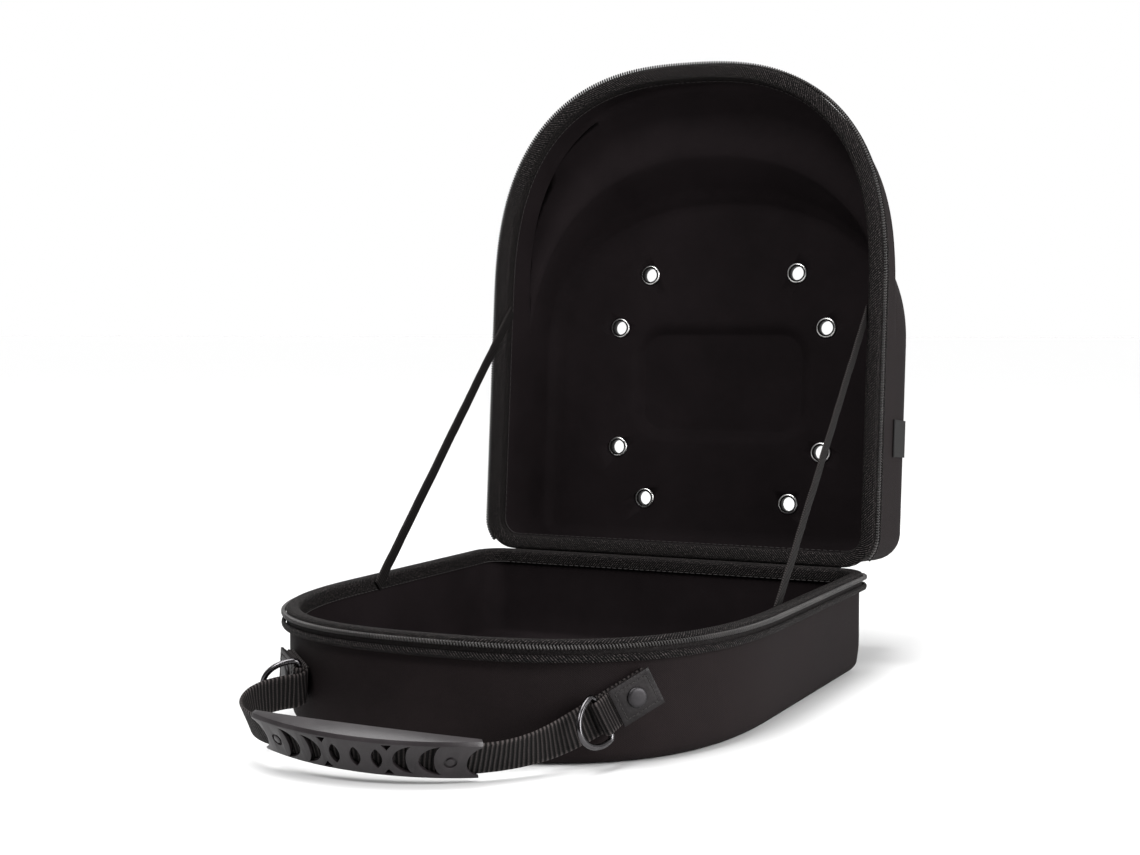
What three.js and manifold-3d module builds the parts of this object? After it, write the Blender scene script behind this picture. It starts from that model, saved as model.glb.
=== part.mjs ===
// Carrier case for caps: a moulded tray and a deeper lid joined by a cloth hinge, a zip round three
// sides, two stay straps, eight vent eyelets and a strap handle. Millimetres, +Z up. The origin is
// the centre of the tray's underside, the rounded end with the handle faces -Y, the hinge is at +Y.
import * as THREE from 'three';
import { mergeVertices } from 'three/addons/utils/BufferGeometryUtils.js';
import Module from 'manifold-3d';

const wasm = await Module();
wasm.setup();

const { PI, abs, cos, hypot, max, min, sign, sin } = Math;
const RADIANS = PI / 180;

// Plan outline at the zip line, shared by the tray and the lid
const CASE_WIDTH = 236;
const CASE_LENGTH = 283;       // hinge axis to the tip of the rounded end
const ROUND_END = 133.5;       // length of the rounded end
const ROUND_POWER = 2.57;      // 2 is an ellipse, more is squarer
const HINGE_CORNER = 18;       // corner radius beside the hinge
const HINGE_SETBACK = 2;       // hinge axis to the nearest edge of each half
const RIM_HEIGHT = 51;         // zip line above the surface that the case stands on
const LID_OPENING = 94.7 * RADIANS;

// Moulded shells
const SHELL_WALL = 3.2;
const TRAY_INSET = 3.2;        // zip line in to the outside of the tray's wall
const LID_INSET = 2.2;         // the lid's wall and edging lie a little further out
const TRAY_DRAFT = 0.8;        // the wall leans in by this much at its bottom
const LID_DRAFT = 0.2;
const SHELL_LIP = 0.6;         // shell's edge above the zip line
const TRAY_ROUND = 8;          // radius of the tray's bottom edge
const LID_DEPTH = 67;          // zip line to the inner floor of the crown pocket
const LID_ROUND = 12;          // radius of the crown pocket's edge
const SHELF_DEPTH = 33;        // depth of the shallow end, outside
const SHELF_ROUND = 8;
const CROWN_START = 128;       // hinge axis to where the crown pocket starts to round off
const CROWN_END = 115;         // crown pocket's rounded end at its mouth
const CROWN_POWER = 2.2;
const CROWN_SLOPE = 20;        // run of the sloped step at the pocket's tip
const PANEL_HALF_WIDTH = 51;   // middle panel that bulges out of the pocket's floor
const PANEL_LOW = 76;          // hinge axis to the panel's edges
const PANEL_HIGH = 135;
const PANEL_BULGE = 4.5;
const PANEL_SLOPE = 7;         // run of its sloped border, above and below
const PANEL_SIDE_SLOPE = 7;    // and at its sides
const PANEL_CORNER = 14;

// Edge parts
const GAP = 0.3;
const TAPE_THICK = 1.2;
const TAPE_DROP = 6.4;         // zip line to the far edge of the zip tape
const TEETH_WIDTH = 2.4;
const PIPING_WIDTH = 2.1;
const PIPING_HEIGHT = 3.2;
const BINDING_REACH = 8.2;     // zip line in to the binding's inner face
const BINDING_CROWN = 1.9;     // height of the binding over the shell's edge
const BINDING_LEG = 4.6;       // how far it reaches down the inside
const HINGE_CLOTH = 1.2;
const HINGE_HOLD = 11;         // how far the hinge cloth reaches down each wall

// Vent eyelets on the pocket's floor, in rows from the rounded end to the hinge
const EYELET_ROWS = [
  { halfSpan: 47, fromHinge: 171 },
  { halfSpan: 66, fromHinge: 138.5 },
  { halfSpan: 65, fromHinge: 65 },
  { halfSpan: 46, fromHinge: 34 },
];
const EYELET_BORE = 4.1;       // radius
const EYELET_BARREL = 0.7;
const EYELET_FLANGE = 6;       // radius
const EYELET_LIP = 0.8;

// Stay straps
const STAY_WIDTH = 7.5;
const STAY_THICK = 1.2;
const STAY_ON_TRAY = 139.5;    // hinge axis to the strap's lower end
const STAY_ON_LID = 143;       // hinge axis to its upper end

// Handle
const WEBBING_WIDTH = 16;
const WEBBING_THICK = 1.2;
// End patches: where they sit on the rounded end, how high, the fall of the webbing there, the
// ring's bar from the patch's centre and how far the ring swings out
const TABS = {
  right: { angle: 47.6 * RADIANS, height: 30, slope: 27 * RADIANS, ringAt: 16.5, swing: 30 * RADIANS },
  left: { angle: 53.5 * RADIANS, height: 27.4, slope: 10.4 * RADIANS, ringAt: 13.2, swing: 100 * RADIANS },
};
const PATCH_LENGTH = 20;
const PATCH_WIDTH = 17;
const PATCH_THICK = 1.4;
const RIVET_RADIUS = 4.4;
const RIVET_THICK = 0.9;
const RING_WIRE = 1.3;         // radius
const RING_BAR = 20.4;         // between wire centres
const RING_REACH = 15.6;
const GRIP_HALF = 49.5;
const GRIP_HEIGHT = 18.9;
const GRIP_FRONT = { middle: 2.9, end: 2.3 };   // webbing's middle to the grip's front face
const GRIP_BACK = { middle: 6.8, end: 2 };      // and to its crowned back
const GRIP_BEND = 86;          // radius of its curve in plan
const GRIP_LEAN = 28 * RADIANS;
const GRIP_TURN = 11 * RADIANS;
const GRIP_TILT = -3.8 * RADIANS;
const GRIP_SHIFT = -1.9;
const GRIP_REACH = 46;         // how far the grip's middle lies in front of the tray
const GRIP_FLOOR_GAP = 0.6;
const GRIP_BEVEL = 1.3;
const SLOT_CLEAR = 0.4;
const NOTCH_DEPTH = 5.7;
const NOTCH_HALF = 7.4;
const LENS_HALF = { width: 2.3, height: 5 };
const LENS_PITCH = 8.7;
const CRESCENTS = [
  { at: 14.9, deep: 8.4, halfHigh: 6.9, thick: 5.4 },
  { at: 25, deep: 9.6, halfHigh: 7.3, thick: 6.2 },
];
const SPUR_AT = 13.1;          // small triangles above and below
const SPUR = { wide: 4.2, high: 2.8, middle: 6.1 };
const RING_MARK = { at: 37.4, radius: 2.8, groove: 1.1, deep: 0.8 };

// Label and slider
const LABEL = { long: 24, high: 21, thick: 0.8, depth: 49, fromHinge: 74 };
const SLIDER = { long: 9, high: 8, thick: 3.4 };
const PULL = { long: 22, wide: 5, thick: 1.6 };

const HALF_WIDTH = CASE_WIDTH / 2;
const END_START = CASE_LENGTH - ROUND_END;   // where the straight sides meet the rounded end
const LID_OUTSIDE = LID_DEPTH + SHELL_WALL;

// A closed body from shared corners and triangles, turned to face outwards
function body(corners, triangles) {
  let volume = 0;
  for (const [a, b, c] of triangles) {
    volume += corners[a].dot(new THREE.Vector3().crossVectors(corners[b], corners[c]));
  }
  const faces = volume < 0 ? triangles.map(([a, b, c]) => [a, c, b]) : triangles;
  const geometry = new THREE.BufferGeometry();
  geometry.setAttribute('position', new THREE.Float32BufferAttribute(corners.flatMap((p) => p.toArray()), 3));
  geometry.setIndex(faces.flat());
  return geometry;
}

// Quads between neighbouring rings of equal count, each split in two
function quadBand(triangles, lower, upper, count, wrap) {
  const last = wrap ? count : count - 1;
  for (let i = 0; i < last; i += 1) {
    const j = (i + 1) % count;
    triangles.push([lower + i, lower + j, upper + j], [lower + i, upper + j, upper + i]);
  }
}

// Cap of a convex ring: a fan from its middle
function fanCap(corners, triangles, start, count, flip) {
  const middle = new THREE.Vector3();
  for (let i = 0; i < count; i += 1) {
    middle.add(corners[start + i]);
  }
  const centre = corners.push(middle.divideScalar(count)) - 1;
  for (let i = 0; i < count; i += 1) {
    const j = (i + 1) % count;
    triangles.push(flip ? [centre, start + j, start + i] : [centre, start + i, start + j]);
  }
}

// Loft through rings of corners: closed round, or capped at both ends
function loft(rings, closedRound = false) {
  const count = rings[0].length;
  const corners = rings.flat();
  const triangles = [];
  const bands = closedRound ? rings.length : rings.length - 1;
  for (let k = 0; k < bands; k += 1) {
    quadBand(triangles, k * count, ((k + 1) % rings.length) * count, count, true);
  }
  if (!closedRound) {
    fanCap(corners, triangles, 0, count, true);
    fanCap(corners, triangles, (rings.length - 1) * count, count, false);
  }
  return body(corners, triangles);
}

function toSolid(geometry) {
  const bare = geometry.clone();
  bare.deleteAttribute('normal');
  bare.deleteAttribute('uv');
  const merged = mergeVertices(bare, 1e-4);
  return new wasm.Manifold(new wasm.Mesh({
    numProp: 3,
    vertProperties: new Float32Array(merged.attributes.position.array),
    triVerts: new Uint32Array(merged.index.array),
  }));
}

function fromSolid(solid) {
  const mesh = solid.getMesh();
  const geometry = new THREE.BufferGeometry();
  geometry.setAttribute('position', new THREE.Float32BufferAttribute(mesh.vertProperties, 3));
  geometry.setIndex(Array.from(mesh.triVerts));
  return geometry;
}

// Plan outline: corner, straight side, rounded end, then the mirror image, each with its outward normal.
// v is the distance from the hinge axis.
function outline(endLength = ROUND_END, power = ROUND_POWER, endStart = END_START) {
  const cornerSteps = 4;
  const sideSteps = 3;
  const endSteps = 24;
  const half = [];
  for (let i = 0; i <= cornerSteps; i += 1) {
    const turn = (i / cornerSteps) * PI / 2;
    half.push({
      x: HALF_WIDTH - HINGE_CORNER * (1 - sin(turn)),
      v: HINGE_SETBACK + HINGE_CORNER * (1 - cos(turn)),
      nx: sin(turn),
      nv: -cos(turn),
    });
  }
  const sideStart = HINGE_SETBACK + HINGE_CORNER;
  for (let i = 1; i < sideSteps; i += 1) {
    half.push({ x: HALF_WIDTH, v: sideStart + (endStart - sideStart) * i / sideSteps, nx: 1, nv: 0 });
  }
  for (let i = 0; i <= endSteps / 2; i += 1) {
    half.push(roundEndPoint((i / endSteps) * PI, endLength, power, endStart));
  }
  const mirrored = half.slice(0, -1).reverse().map((p) => ({ ...p, x: -p.x, nx: -p.nx }));
  return [...half, ...mirrored];
}

function roundEndPoint(turn, endLength = ROUND_END, power = ROUND_POWER, endStart = END_START) {
  const across = max(cos(turn), 0) ** (2 / power);
  const along = sin(turn) ** (2 / power);
  const slope = [across ** (power - 1) / HALF_WIDTH, along ** (power - 1) / endLength];
  const length = hypot(...slope);
  return {
    x: HALF_WIDTH * across,
    v: endStart + endLength * along,
    nx: slope[0] / length,
    nv: slope[1] / length,
  };
}

// Ring of the outline moved in by inset, at a depth from the zip plane. way is -1 for the tray,
// whose depth runs down, and 1 for the lid, drawn closed with its depth running up.
function depthRing(points, inset, depth, way) {
  return points.map((p) => new THREE.Vector3(p.x - p.nx * inset, -(p.v - p.nv * inset), way * depth));
}

// Shell of even wall: the rings run from the edge to the floor's edge along the outside
function shell(rings, wall, way) {
  const count = rings[0].length;
  const inner = rings.map((ring, k) => ring.map((corner, i) => {
    const along = new THREE.Vector3().subVectors(ring[(i + 1) % count], ring[(i + count - 1) % count]);
    const down = new THREE.Vector3().subVectors(
      rings[min(k + 1, rings.length - 1)][i], rings[max(k - 1, 0)][i]);
    const normal = new THREE.Vector3().crossVectors(along, down).normalize();
    if (k === 0) {
      normal.setZ(0).normalize();
    }
    if (k === rings.length - 1) {
      normal.set(0, 0, 1);
    }
    const middle = new THREE.Vector3(0, -CASE_LENGTH / 2, 0);
    const inwards = k === rings.length - 1 ? -way * sign(normal.z) : sign(normal.dot(middle.sub(corner).setZ(
      -way * abs(middle.x - corner.x))));
    return corner.clone().addScaledVector(normal, wall * (inwards || 1));
  }));
  const corners = [...rings.flat(), ...inner.flat()];
  const triangles = [];
  const innerStart = rings.length * count;
  for (let k = 0; k < rings.length - 1; k += 1) {
    quadBand(triangles, k * count, (k + 1) * count, count, true);
    quadBand(triangles, innerStart + (k + 1) * count, innerStart + k * count, count, true);
  }
  fanCap(corners, triangles, (rings.length - 1) * count, count, false);
  fanCap(corners, triangles, innerStart + (rings.length - 1) * count, count, true);
  quadBand(triangles, innerStart, 0, count, true);
  return body(corners, triangles);
}

function trayShell() {
  const points = outline();
  const rings = [
    depthRing(points, TRAY_INSET, -SHELL_LIP, -1),
    depthRing(points, TRAY_INSET, BINDING_LEG + GAP, -1),
  ];
  const steps = 3;
  for (let i = 0; i <= steps; i += 1) {
    const turn = (i / steps) * PI / 2;
    const inset = TRAY_INSET + TRAY_DRAFT + TRAY_ROUND * (1 - cos(turn));
    rings.push(depthRing(points, inset, RIM_HEIGHT - TRAY_ROUND * (1 - sin(turn)), -1));
  }
  return shell(rings, SHELL_WALL, -1);
}

function lidShell() {
  const full = outline();
  const wallAt = (depth) => LID_INSET + LID_DRAFT * depth / LID_OUTSIDE;
  const shelfEdge = outline(ROUND_END - SHELF_ROUND * 0.35);
  const shelf = outline(ROUND_END - SHELF_ROUND * 1.2);
  const crownOutline = (share) => outline(CROWN_END - CROWN_SLOPE * share, CROWN_POWER, CROWN_START);
  const mouth = crownOutline(-0.15);
  const lip = crownOutline(0.2);
  const foot = crownOutline(0.8);
  const floor = crownOutline(1);
  const shoulder = LID_OUTSIDE - LID_ROUND;
  const rings = [
    depthRing(full, LID_INSET, -SHELL_LIP, 1),
    depthRing(full, LID_INSET, BINDING_LEG + GAP, 1),
    depthRing(full, wallAt(SHELF_DEPTH), SHELF_DEPTH - SHELF_ROUND, 1),
    depthRing(shelfEdge, wallAt(SHELF_DEPTH), SHELF_DEPTH - SHELF_ROUND * 0.35, 1),
    depthRing(shelf, wallAt(SHELF_DEPTH), SHELF_DEPTH, 1),
    depthRing(mouth, wallAt(SHELF_DEPTH), SHELF_DEPTH + 3, 1),
    depthRing(lip, wallAt(SHELF_DEPTH), SHELF_DEPTH + 8, 1),
    depthRing(foot, wallAt(shoulder), shoulder, 1),
  ];
  const steps = 3;
  for (let i = 1; i <= steps; i += 1) {
    const turn = (i / steps) * PI / 2;
    const inset = wallAt(LID_OUTSIDE) + LID_ROUND * (1 - cos(turn));
    rings.push(depthRing(floor, inset, LID_OUTSIDE - LID_ROUND * (1 - sin(turn)), 1));
  }
  let solid = toSolid(shell(rings, SHELL_WALL, 1));
  solid = solid.add(toSolid(panelBlock(0)));
  solid = solid.subtract(toSolid(panelBlock(SHELL_WALL)));
  for (const { x, v } of eyeletPlaces()) {
    const drill = new THREE.CylinderGeometry(EYELET_BORE + EYELET_BARREL + GAP,
      EYELET_BORE + EYELET_BARREL + GAP, SHELL_WALL * 4, 12);
    drill.rotateX(PI / 2).translate(x, -v, LID_DEPTH + SHELL_WALL / 2);
    solid = solid.subtract(toSolid(drill));
  }
  return fromSolid(solid);
}

// Rounded block that stands out of the pocket's floor, or with an inset the hollow inside it
function panelBlock(inset) {
  const halfHeight = (PANEL_HIGH - PANEL_LOW) / 2;
  const middle = (PANEL_HIGH + PANEL_LOW) / 2;
  const top = LID_OUTSIDE + PANEL_BULGE - inset;
  const bottom = LID_OUTSIDE - SHELL_WALL / 2 - inset;
  const ring = (share, depth) => {
    const shape = roundedRectangle(PANEL_HALF_WIDTH + PANEL_SIDE_SLOPE * share - inset / 2,
      halfHeight + PANEL_SLOPE * share - inset / 2, PANEL_CORNER + PANEL_SLOPE * share);
    return shape.map((p) => new THREE.Vector3(p.x, -middle + p.y, depth));
  };
  return loft([ring((top - bottom) / PANEL_BULGE, bottom), ring(0, top)]);
}

function roundedRectangle(halfWide, halfHigh, radius, steps = 3) {
  const points = [];
  for (let corner = 0; corner < 4; corner += 1) {
    const sx = corner === 0 || corner === 3 ? 1 : -1;
    const sy = corner < 2 ? 1 : -1;
    for (let i = 0; i <= steps; i += 1) {
      const turn = (corner + i / steps) * PI / 2;
      points.push(new THREE.Vector2(sx * (halfWide - radius) + radius * cos(turn),
        sy * (halfHigh - radius) + radius * sin(turn)));
    }
  }
  return points;
}

// Section of (inset, height) corners swept round the outline; height runs from the zip plane
// towards the other half. Open sweeps leave out the hinge side.
function rimSweep(section, way, open = false) {
  let points = outline();
  if (open) {
    points = points.slice(2, -2);
  }
  const rings = points.map((p) => section.map(([inset, height]) =>
    new THREE.Vector3(p.x - p.nx * inset, -(p.v - p.nv * inset), -way * height)));
  return loft(rings, !open);
}

const insetOf = (way) => (way < 0 ? TRAY_INSET : LID_INSET);
const tapeFace = (way) => insetOf(way) - GAP - TAPE_THICK;

function zipTape(way) {
  const tapeInner = insetOf(way) - GAP;
  const tapeOuter = tapeFace(way);
  return rimSweep([
    [tapeInner, SHELL_LIP], [tapeOuter, SHELL_LIP], [tapeOuter, -TAPE_DROP], [tapeInner, -TAPE_DROP],
  ], way, true);
}

// Row of teeth as a rounded rib on the tape's outer face
function zipTeeth(way) {
  const middle = tapeFace(way) - GAP - TEETH_WIDTH / 2;
  return rimSweep(roundSection(middle, 0.2, TEETH_WIDTH / 2, TEETH_WIDTH / 2, 6), way, true);
}

function piping(way) {
  const middle = tapeFace(way) - GAP - PIPING_WIDTH / 2;
  const height = PIPING_HEIGHT / 2 - TAPE_DROP;
  return rimSweep(roundSection(middle, height, PIPING_WIDTH / 2, PIPING_HEIGHT / 2, 6), way, true);
}

function roundSection(inset, height, radiusIn, radiusUp, sides) {
  const section = [];
  for (let i = 0; i < sides; i += 1) {
    const turn = ((i + 0.5) / sides) * 2 * PI;
    section.push([inset + radiusIn * cos(turn), height + radiusUp * sin(turn)]);
  }
  return section;
}

// Binding: a crowned cap over the shell's edge with a leg down the inside
function binding(way) {
  const outer = tapeFace(way) - 0.1;
  const inner = BINDING_REACH;
  const under = SHELL_LIP + GAP;
  const top = under + BINDING_CROWN;
  const leg = insetOf(way) + SHELL_WALL + GAP * 2;
  const points = outline();
  const section = [
    [outer, under], [outer + 0.3, top - 0.8], [outer + 1.7, top], [inner - 2.2, top],
    [inner - 0.4, top - 0.9], [inner, under - 0.6], [inner, -BINDING_LEG], [leg, -BINDING_LEG],
    [leg, under],
  ];
  const corners = points.flatMap((p) => section.map(([inset, height]) =>
    new THREE.Vector3(p.x - p.nx * inset, -(p.v - p.nv * inset), -way * height)));
  const triangles = [];
  for (let k = 0; k < points.length; k += 1) {
    const next = ((k + 1) % points.length) * section.length;
    quadBand(triangles, k * section.length, next, section.length, true);
  }
  return body(corners, triangles);
}

// Cloth hinge: from the tray's back wall round the hinge axis to the lid's lower wall
function hingeStrip() {
  const half = HALF_WIDTH - HINGE_CORNER - GAP;
  const offOf = (way) => insetOf(way) + HINGE_SETBACK - GAP * 2 - HINGE_CLOTH / 2;
  const onTray = (depth) => new THREE.Vector2(-offOf(-1), -depth);
  const onLid = (depth) => new THREE.Vector2(
    -offOf(1) * cos(LID_OPENING) + depth * sin(LID_OPENING),
    offOf(1) * sin(LID_OPENING) + depth * cos(LID_OPENING));
  const bend = new THREE.CubicBezierCurve(onTray(2), onTray(-0.3), onLid(0.9), onLid(2));
  const path = [onTray(HINGE_HOLD), ...bend.getPoints(5), onLid(HINGE_HOLD)];
  const outside = [];
  const inside = [];
  path.forEach((p, i) => {
    const before = path[max(i - 1, 0)];
    const after = path[min(i + 1, path.length - 1)];
    const along = new THREE.Vector2().subVectors(after, before).normalize();
    const side = new THREE.Vector2(along.y, -along.x).multiplyScalar(HINGE_CLOTH / 2);
    outside.push(p.clone().add(side));
    inside.push(p.clone().sub(side));
  });
  const shape = new THREE.Shape([...outside, ...inside.reverse()]);
  const strip = new THREE.ExtrudeGeometry(shape, { depth: half * 2, bevelEnabled: false, steps: 1 });
  strip.translate(0, 0, -half);
  strip.applyMatrix4(new THREE.Matrix4().makeBasis(
    new THREE.Vector3(0, 1, 0), new THREE.Vector3(0, 0, 1), new THREE.Vector3(1, 0, 0)));
  return strip;
}

// Stay strap: flat webbing from the tray's binding to the lid's, drawn from the hinge axis
function stayStrap(side) {
  const reach = (BINDING_LEG + SHELL_LIP) / 2;
  const low = new THREE.Vector2(-STAY_ON_TRAY, -reach);
  const high = new THREE.Vector2(
    -STAY_ON_LID * cos(LID_OPENING) + reach * sin(LID_OPENING),
    STAY_ON_LID * sin(LID_OPENING) + reach * cos(LID_OPENING));
  const along = new THREE.Vector2().subVectors(high, low).normalize();
  const across = new THREE.Vector2(-along.y, along.x).multiplyScalar(STAY_WIDTH / 2);
  const shape = new THREE.Shape([
    low.clone().sub(across), high.clone().sub(across), high.clone().add(across), low.clone().add(across),
  ]);
  const strap = new THREE.ExtrudeGeometry(shape, { depth: STAY_THICK, bevelEnabled: false, steps: 1 });
  strap.applyMatrix4(new THREE.Matrix4().makeBasis(
    new THREE.Vector3(0, 1, 0), new THREE.Vector3(0, 0, 1), new THREE.Vector3(1, 0, 0)));
  const outerFace = HALF_WIDTH - BINDING_REACH - GAP;
  strap.translate(side > 0 ? outerFace - STAY_THICK : -outerFace, 0, 0);
  return strap;
}

function eyeletPlaces() {
  return EYELET_ROWS.flatMap(({ halfSpan, fromHinge }) =>
    [-1, 1].map((side) => ({ x: side * halfSpan, v: fromHinge })));
}

// Eyelet: a barrel through the wall with a flange on each face, open right through
function eyelet() {
  const inner = LID_DEPTH - GAP;
  const outer = LID_OUTSIDE + GAP;
  const barrel = EYELET_BORE + EYELET_BARREL;
  const profile = [
    [EYELET_BORE, inner - EYELET_LIP], [EYELET_FLANGE - 0.6, inner - EYELET_LIP], [EYELET_FLANGE, inner],
    [barrel, inner], [barrel, outer], [EYELET_FLANGE, outer], [EYELET_FLANGE, outer + EYELET_LIP],
    [EYELET_BORE, outer + EYELET_LIP], [EYELET_BORE, inner - EYELET_LIP],
  ].map(([radius, depth]) => new THREE.Vector2(radius, depth));
  const spool = new THREE.LatheGeometry(profile, 12);
  spool.rotateX(PI / 2);
  return spool;
}

const tabOf = (side) => (side > 0 ? TABS.right : TABS.left);

// Frame of a handle patch on the tray's wall: down runs away from the patch along the webbing,
// across is the webbing's width and out leaves the wall
function patchFrame(side) {
  const { angle, height, slope } = tabOf(side);
  const spot = roundEndPoint(angle);
  const inset = TRAY_INSET + TRAY_DRAFT * (1 - height / RIM_HEIGHT);
  const centre = new THREE.Vector3(side * (spot.x - spot.nx * inset),
    CASE_LENGTH / 2 - (spot.v - spot.nv * inset), height);
  const out = new THREE.Vector3(side * spot.nx, -spot.nv, 0);
  const forward = new THREE.Vector3(-side * spot.nv, -spot.nx, 0);
  const up = new THREE.Vector3(0, 0, 1);
  const down = forward.clone().multiplyScalar(cos(slope)).addScaledVector(up, -sin(slope));
  const across = forward.clone().multiplyScalar(sin(slope)).addScaledVector(up, cos(slope));
  const at = (along, off, wide = 0) => centre.clone()
    .addScaledVector(down, along).addScaledVector(out, off).addScaledVector(across, wide);
  return { centre, down, across, out, at };
}

// Places a shape drawn in (along, off) and extruded across, or in (along, wide) and extruded outwards
function placeInFrame(geometry, frame, first, second, third) {
  const basis = new THREE.Matrix4().makeBasis(frame[first], frame[second], frame[third]);
  basis.setPosition(frame.centre);
  const placed = toSolid(geometry.clone().applyMatrix4(basis));
  const mesh = placed.getMesh();
  const corners = [];
  for (let i = 0; i < mesh.vertProperties.length; i += 3) {
    corners.push(new THREE.Vector3(...mesh.vertProperties.slice(i, i + 3)));
  }
  const triangles = [];
  for (let i = 0; i < mesh.triVerts.length; i += 3) {
    triangles.push([...mesh.triVerts.slice(i, i + 3)]);
  }
  return body(corners, triangles);
}

// Layers at a patch, outwards from the wall
const webbingOff = GAP + 0.2;
const loopOff = webbingOff + WEBBING_THICK + GAP;
const barOff = loopOff + WEBBING_THICK + GAP + RING_WIRE;
const patchOff = loopOff + 2 * WEBBING_THICK + GAP * 2;
const rivetOff = patchOff + PATCH_THICK + GAP;

// Frame of the grip at a distance along it from its middle
function gripFrame(along) {
  const turn = along / GRIP_BEND + GRIP_TURN;
  const middleHeight = GRIP_FLOOR_GAP + GRIP_HEIGHT / 2 * cos(GRIP_LEAN) + GRIP_FRONT.middle * sin(GRIP_LEAN)
    + GRIP_HALF * abs(sin(GRIP_TILT));
  const centre = new THREE.Vector3(
    GRIP_SHIFT + GRIP_BEND * (sin(turn) - sin(GRIP_TURN)),
    -CASE_LENGTH / 2 - GRIP_REACH + GRIP_BEND * (cos(GRIP_TURN) - cos(turn)),
    middleHeight + along * sin(GRIP_TILT));
  const level = new THREE.Vector3(sin(turn), -cos(turn), 0);
  const up = new THREE.Vector3(0, 0, 1);
  const across = level.clone().multiplyScalar(sin(GRIP_LEAN)).addScaledVector(up, cos(GRIP_LEAN));
  const out = level.clone().multiplyScalar(cos(GRIP_LEAN)).addScaledVector(up, -sin(GRIP_LEAN));
  const tangent = new THREE.Vector3(cos(turn), sin(turn), 0);
  return { centre, across, out, tangent };
}

const gripStations = Array.from({ length: 17 }, (_, i) => -GRIP_HALF + GRIP_HALF * 2 * i / 16);

// Bezier between two places with their headings, as stations after the first
function sweepBetween(from, heading, to, arrival, fromPull, toPull, steps) {
  const curve = new THREE.CubicBezierCurve3(from, from.clone().addScaledVector(heading, fromPull),
    to.clone().addScaledVector(arrival, -toPull), to);
  return curve.getPoints(steps).slice(1);
}

// The webbing's middle line with the direction of its width at each station, from left patch to right
function webbingLine() {
  const left = patchFrame(-1);
  const right = patchFrame(1);
  const start = gripFrame(-GRIP_HALF);
  const end = gripFrame(GRIP_HALF);
  const off = webbingOff + WEBBING_THICK / 2;
  const tail = -PATCH_LENGTH / 2 + 1;
  const past = TABS.left.ringAt + RING_WIRE + WEBBING_THICK + GAP;
  const stations = [left.at(tail, off), left.at(0, off), left.at(past - 3.5, off)];
  // sharp fold off the wall round the end of the ring's loop
  const fold = left.at(past + 3.2, off + 7.5, -1.5);
  stations.push(...sweepBetween(stations[2], left.down, fold, left.out, 4, 4, 5));
  const onwards = new THREE.Vector3().subVectors(start.centre, fold);
  stations.push(...sweepBetween(fold, left.out, start.centre, start.tangent,
    onwards.length() * 0.42, onwards.length() * 0.5, 10).slice(0, -1));
  const leftCount = stations.length;
  stations.push(...gripStations.map((along) => gripFrame(along).centre));
  const leave = right.at(PATCH_LENGTH / 2 + 2, off);
  const span = leave.distanceTo(end.centre);
  stations.push(...sweepBetween(end.centre, end.tangent, leave, right.down.clone().negate(),
    span * 0.4, span * 0.35, 8));
  stations.push(right.at(0, off), right.at(tail, off));
  const rightStart = leftCount + gripStations.length;
  const widths = stations.map((_, i) => {
    if (i < leftCount) {
      const share = smooth((i - 4) / (leftCount - 4));
      return left.across.clone().lerp(start.across, share);
    }
    if (i < rightStart) {
      return gripFrame(gripStations[i - leftCount]).across;
    }
    return end.across.clone().lerp(right.across, smooth((i - rightStart + 1) / 8));
  });
  return { stations, widths };
}

function smooth(share) {
  const t = min(max(share, 0), 1);
  return t * t * (3 - 2 * t);
}

function handleWebbing() {
  const { stations, widths } = webbingLine();
  const rings = stations.map((centre, i) => {
    const before = stations[max(i - 1, 0)];
    const after = stations[min(i + 1, stations.length - 1)];
    const along = new THREE.Vector3().subVectors(after, before).normalize();
    const wide = widths[i].clone().addScaledVector(along, -widths[i].dot(along)).normalize();
    const thick = new THREE.Vector3().crossVectors(along, wide).multiplyScalar(WEBBING_THICK / 2);
    wide.multiplyScalar(WEBBING_WIDTH / 2);
    return [[1, 1], [-1, 1], [-1, -1], [1, -1]].map(([a, b]) =>
      centre.clone().addScaledVector(wide, a).addScaledVector(thick, b));
  });
  return loft(rings);
}

// Distance of a face of the grip from the webbing's middle, fullest half way along
function gripFace(face, along) {
  return face.middle - (face.middle - face.end) * (along / GRIP_HALF) ** 2;
}

// Section of (across, out) corners, which may change along the grip, swept along it
function gripSweep(sectionAt, overrun) {
  const stations = [...gripStations];
  stations[0] -= overrun;
  stations[stations.length - 1] += overrun;
  return loft(stations.map((along) => {
    const frame = gripFrame(along);
    return sectionAt(along).map(([wide, off]) =>
      frame.centre.clone().addScaledVector(frame.across, wide).addScaledVector(frame.out, off));
  }));
}

// Cutter through the grip's front wall: a shape in (along, across) set at a place along the grip
function gripCutter(shape, along, from, to) {
  const frame = gripFrame(along);
  const cutter = new THREE.ExtrudeGeometry(shape, {
    depth: to - from, bevelEnabled: false, steps: 1, curveSegments: 5,
  });
  cutter.translate(0, 0, from);
  cutter.applyMatrix4(new THREE.Matrix4().makeBasis(
    new THREE.Vector3().crossVectors(frame.across, frame.out), frame.across, frame.out)
    .setPosition(frame.centre));
  return toSolid(cutter);
}

// Pointed ellipse from two arcs
function lensShape(halfWide, halfHigh) {
  const radius = (halfWide * halfWide + halfHigh * halfHigh) / (2 * halfWide);
  const reach = Math.asin(halfHigh / radius);
  const shape = new THREE.Shape();
  shape.absarc(halfWide - radius, 0, radius, -reach, reach, false);
  shape.absarc(radius - halfWide, 0, radius, PI - reach, PI + reach, false);
  return shape;
}

// Crescent between two half ellipses that share its horns; its round back faces the grip's middle
function crescentShape(side, { deep, halfHigh, thick }) {
  const shape = new THREE.Shape();
  const turn = side > 0 ? PI / 2 : -PI / 2;
  shape.absellipse(side * deep, 0, deep, halfHigh, turn, turn + PI, false);
  shape.absellipse(side * deep, 0, deep - thick, halfHigh, turn + PI, turn, true);
  return shape;
}

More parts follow.
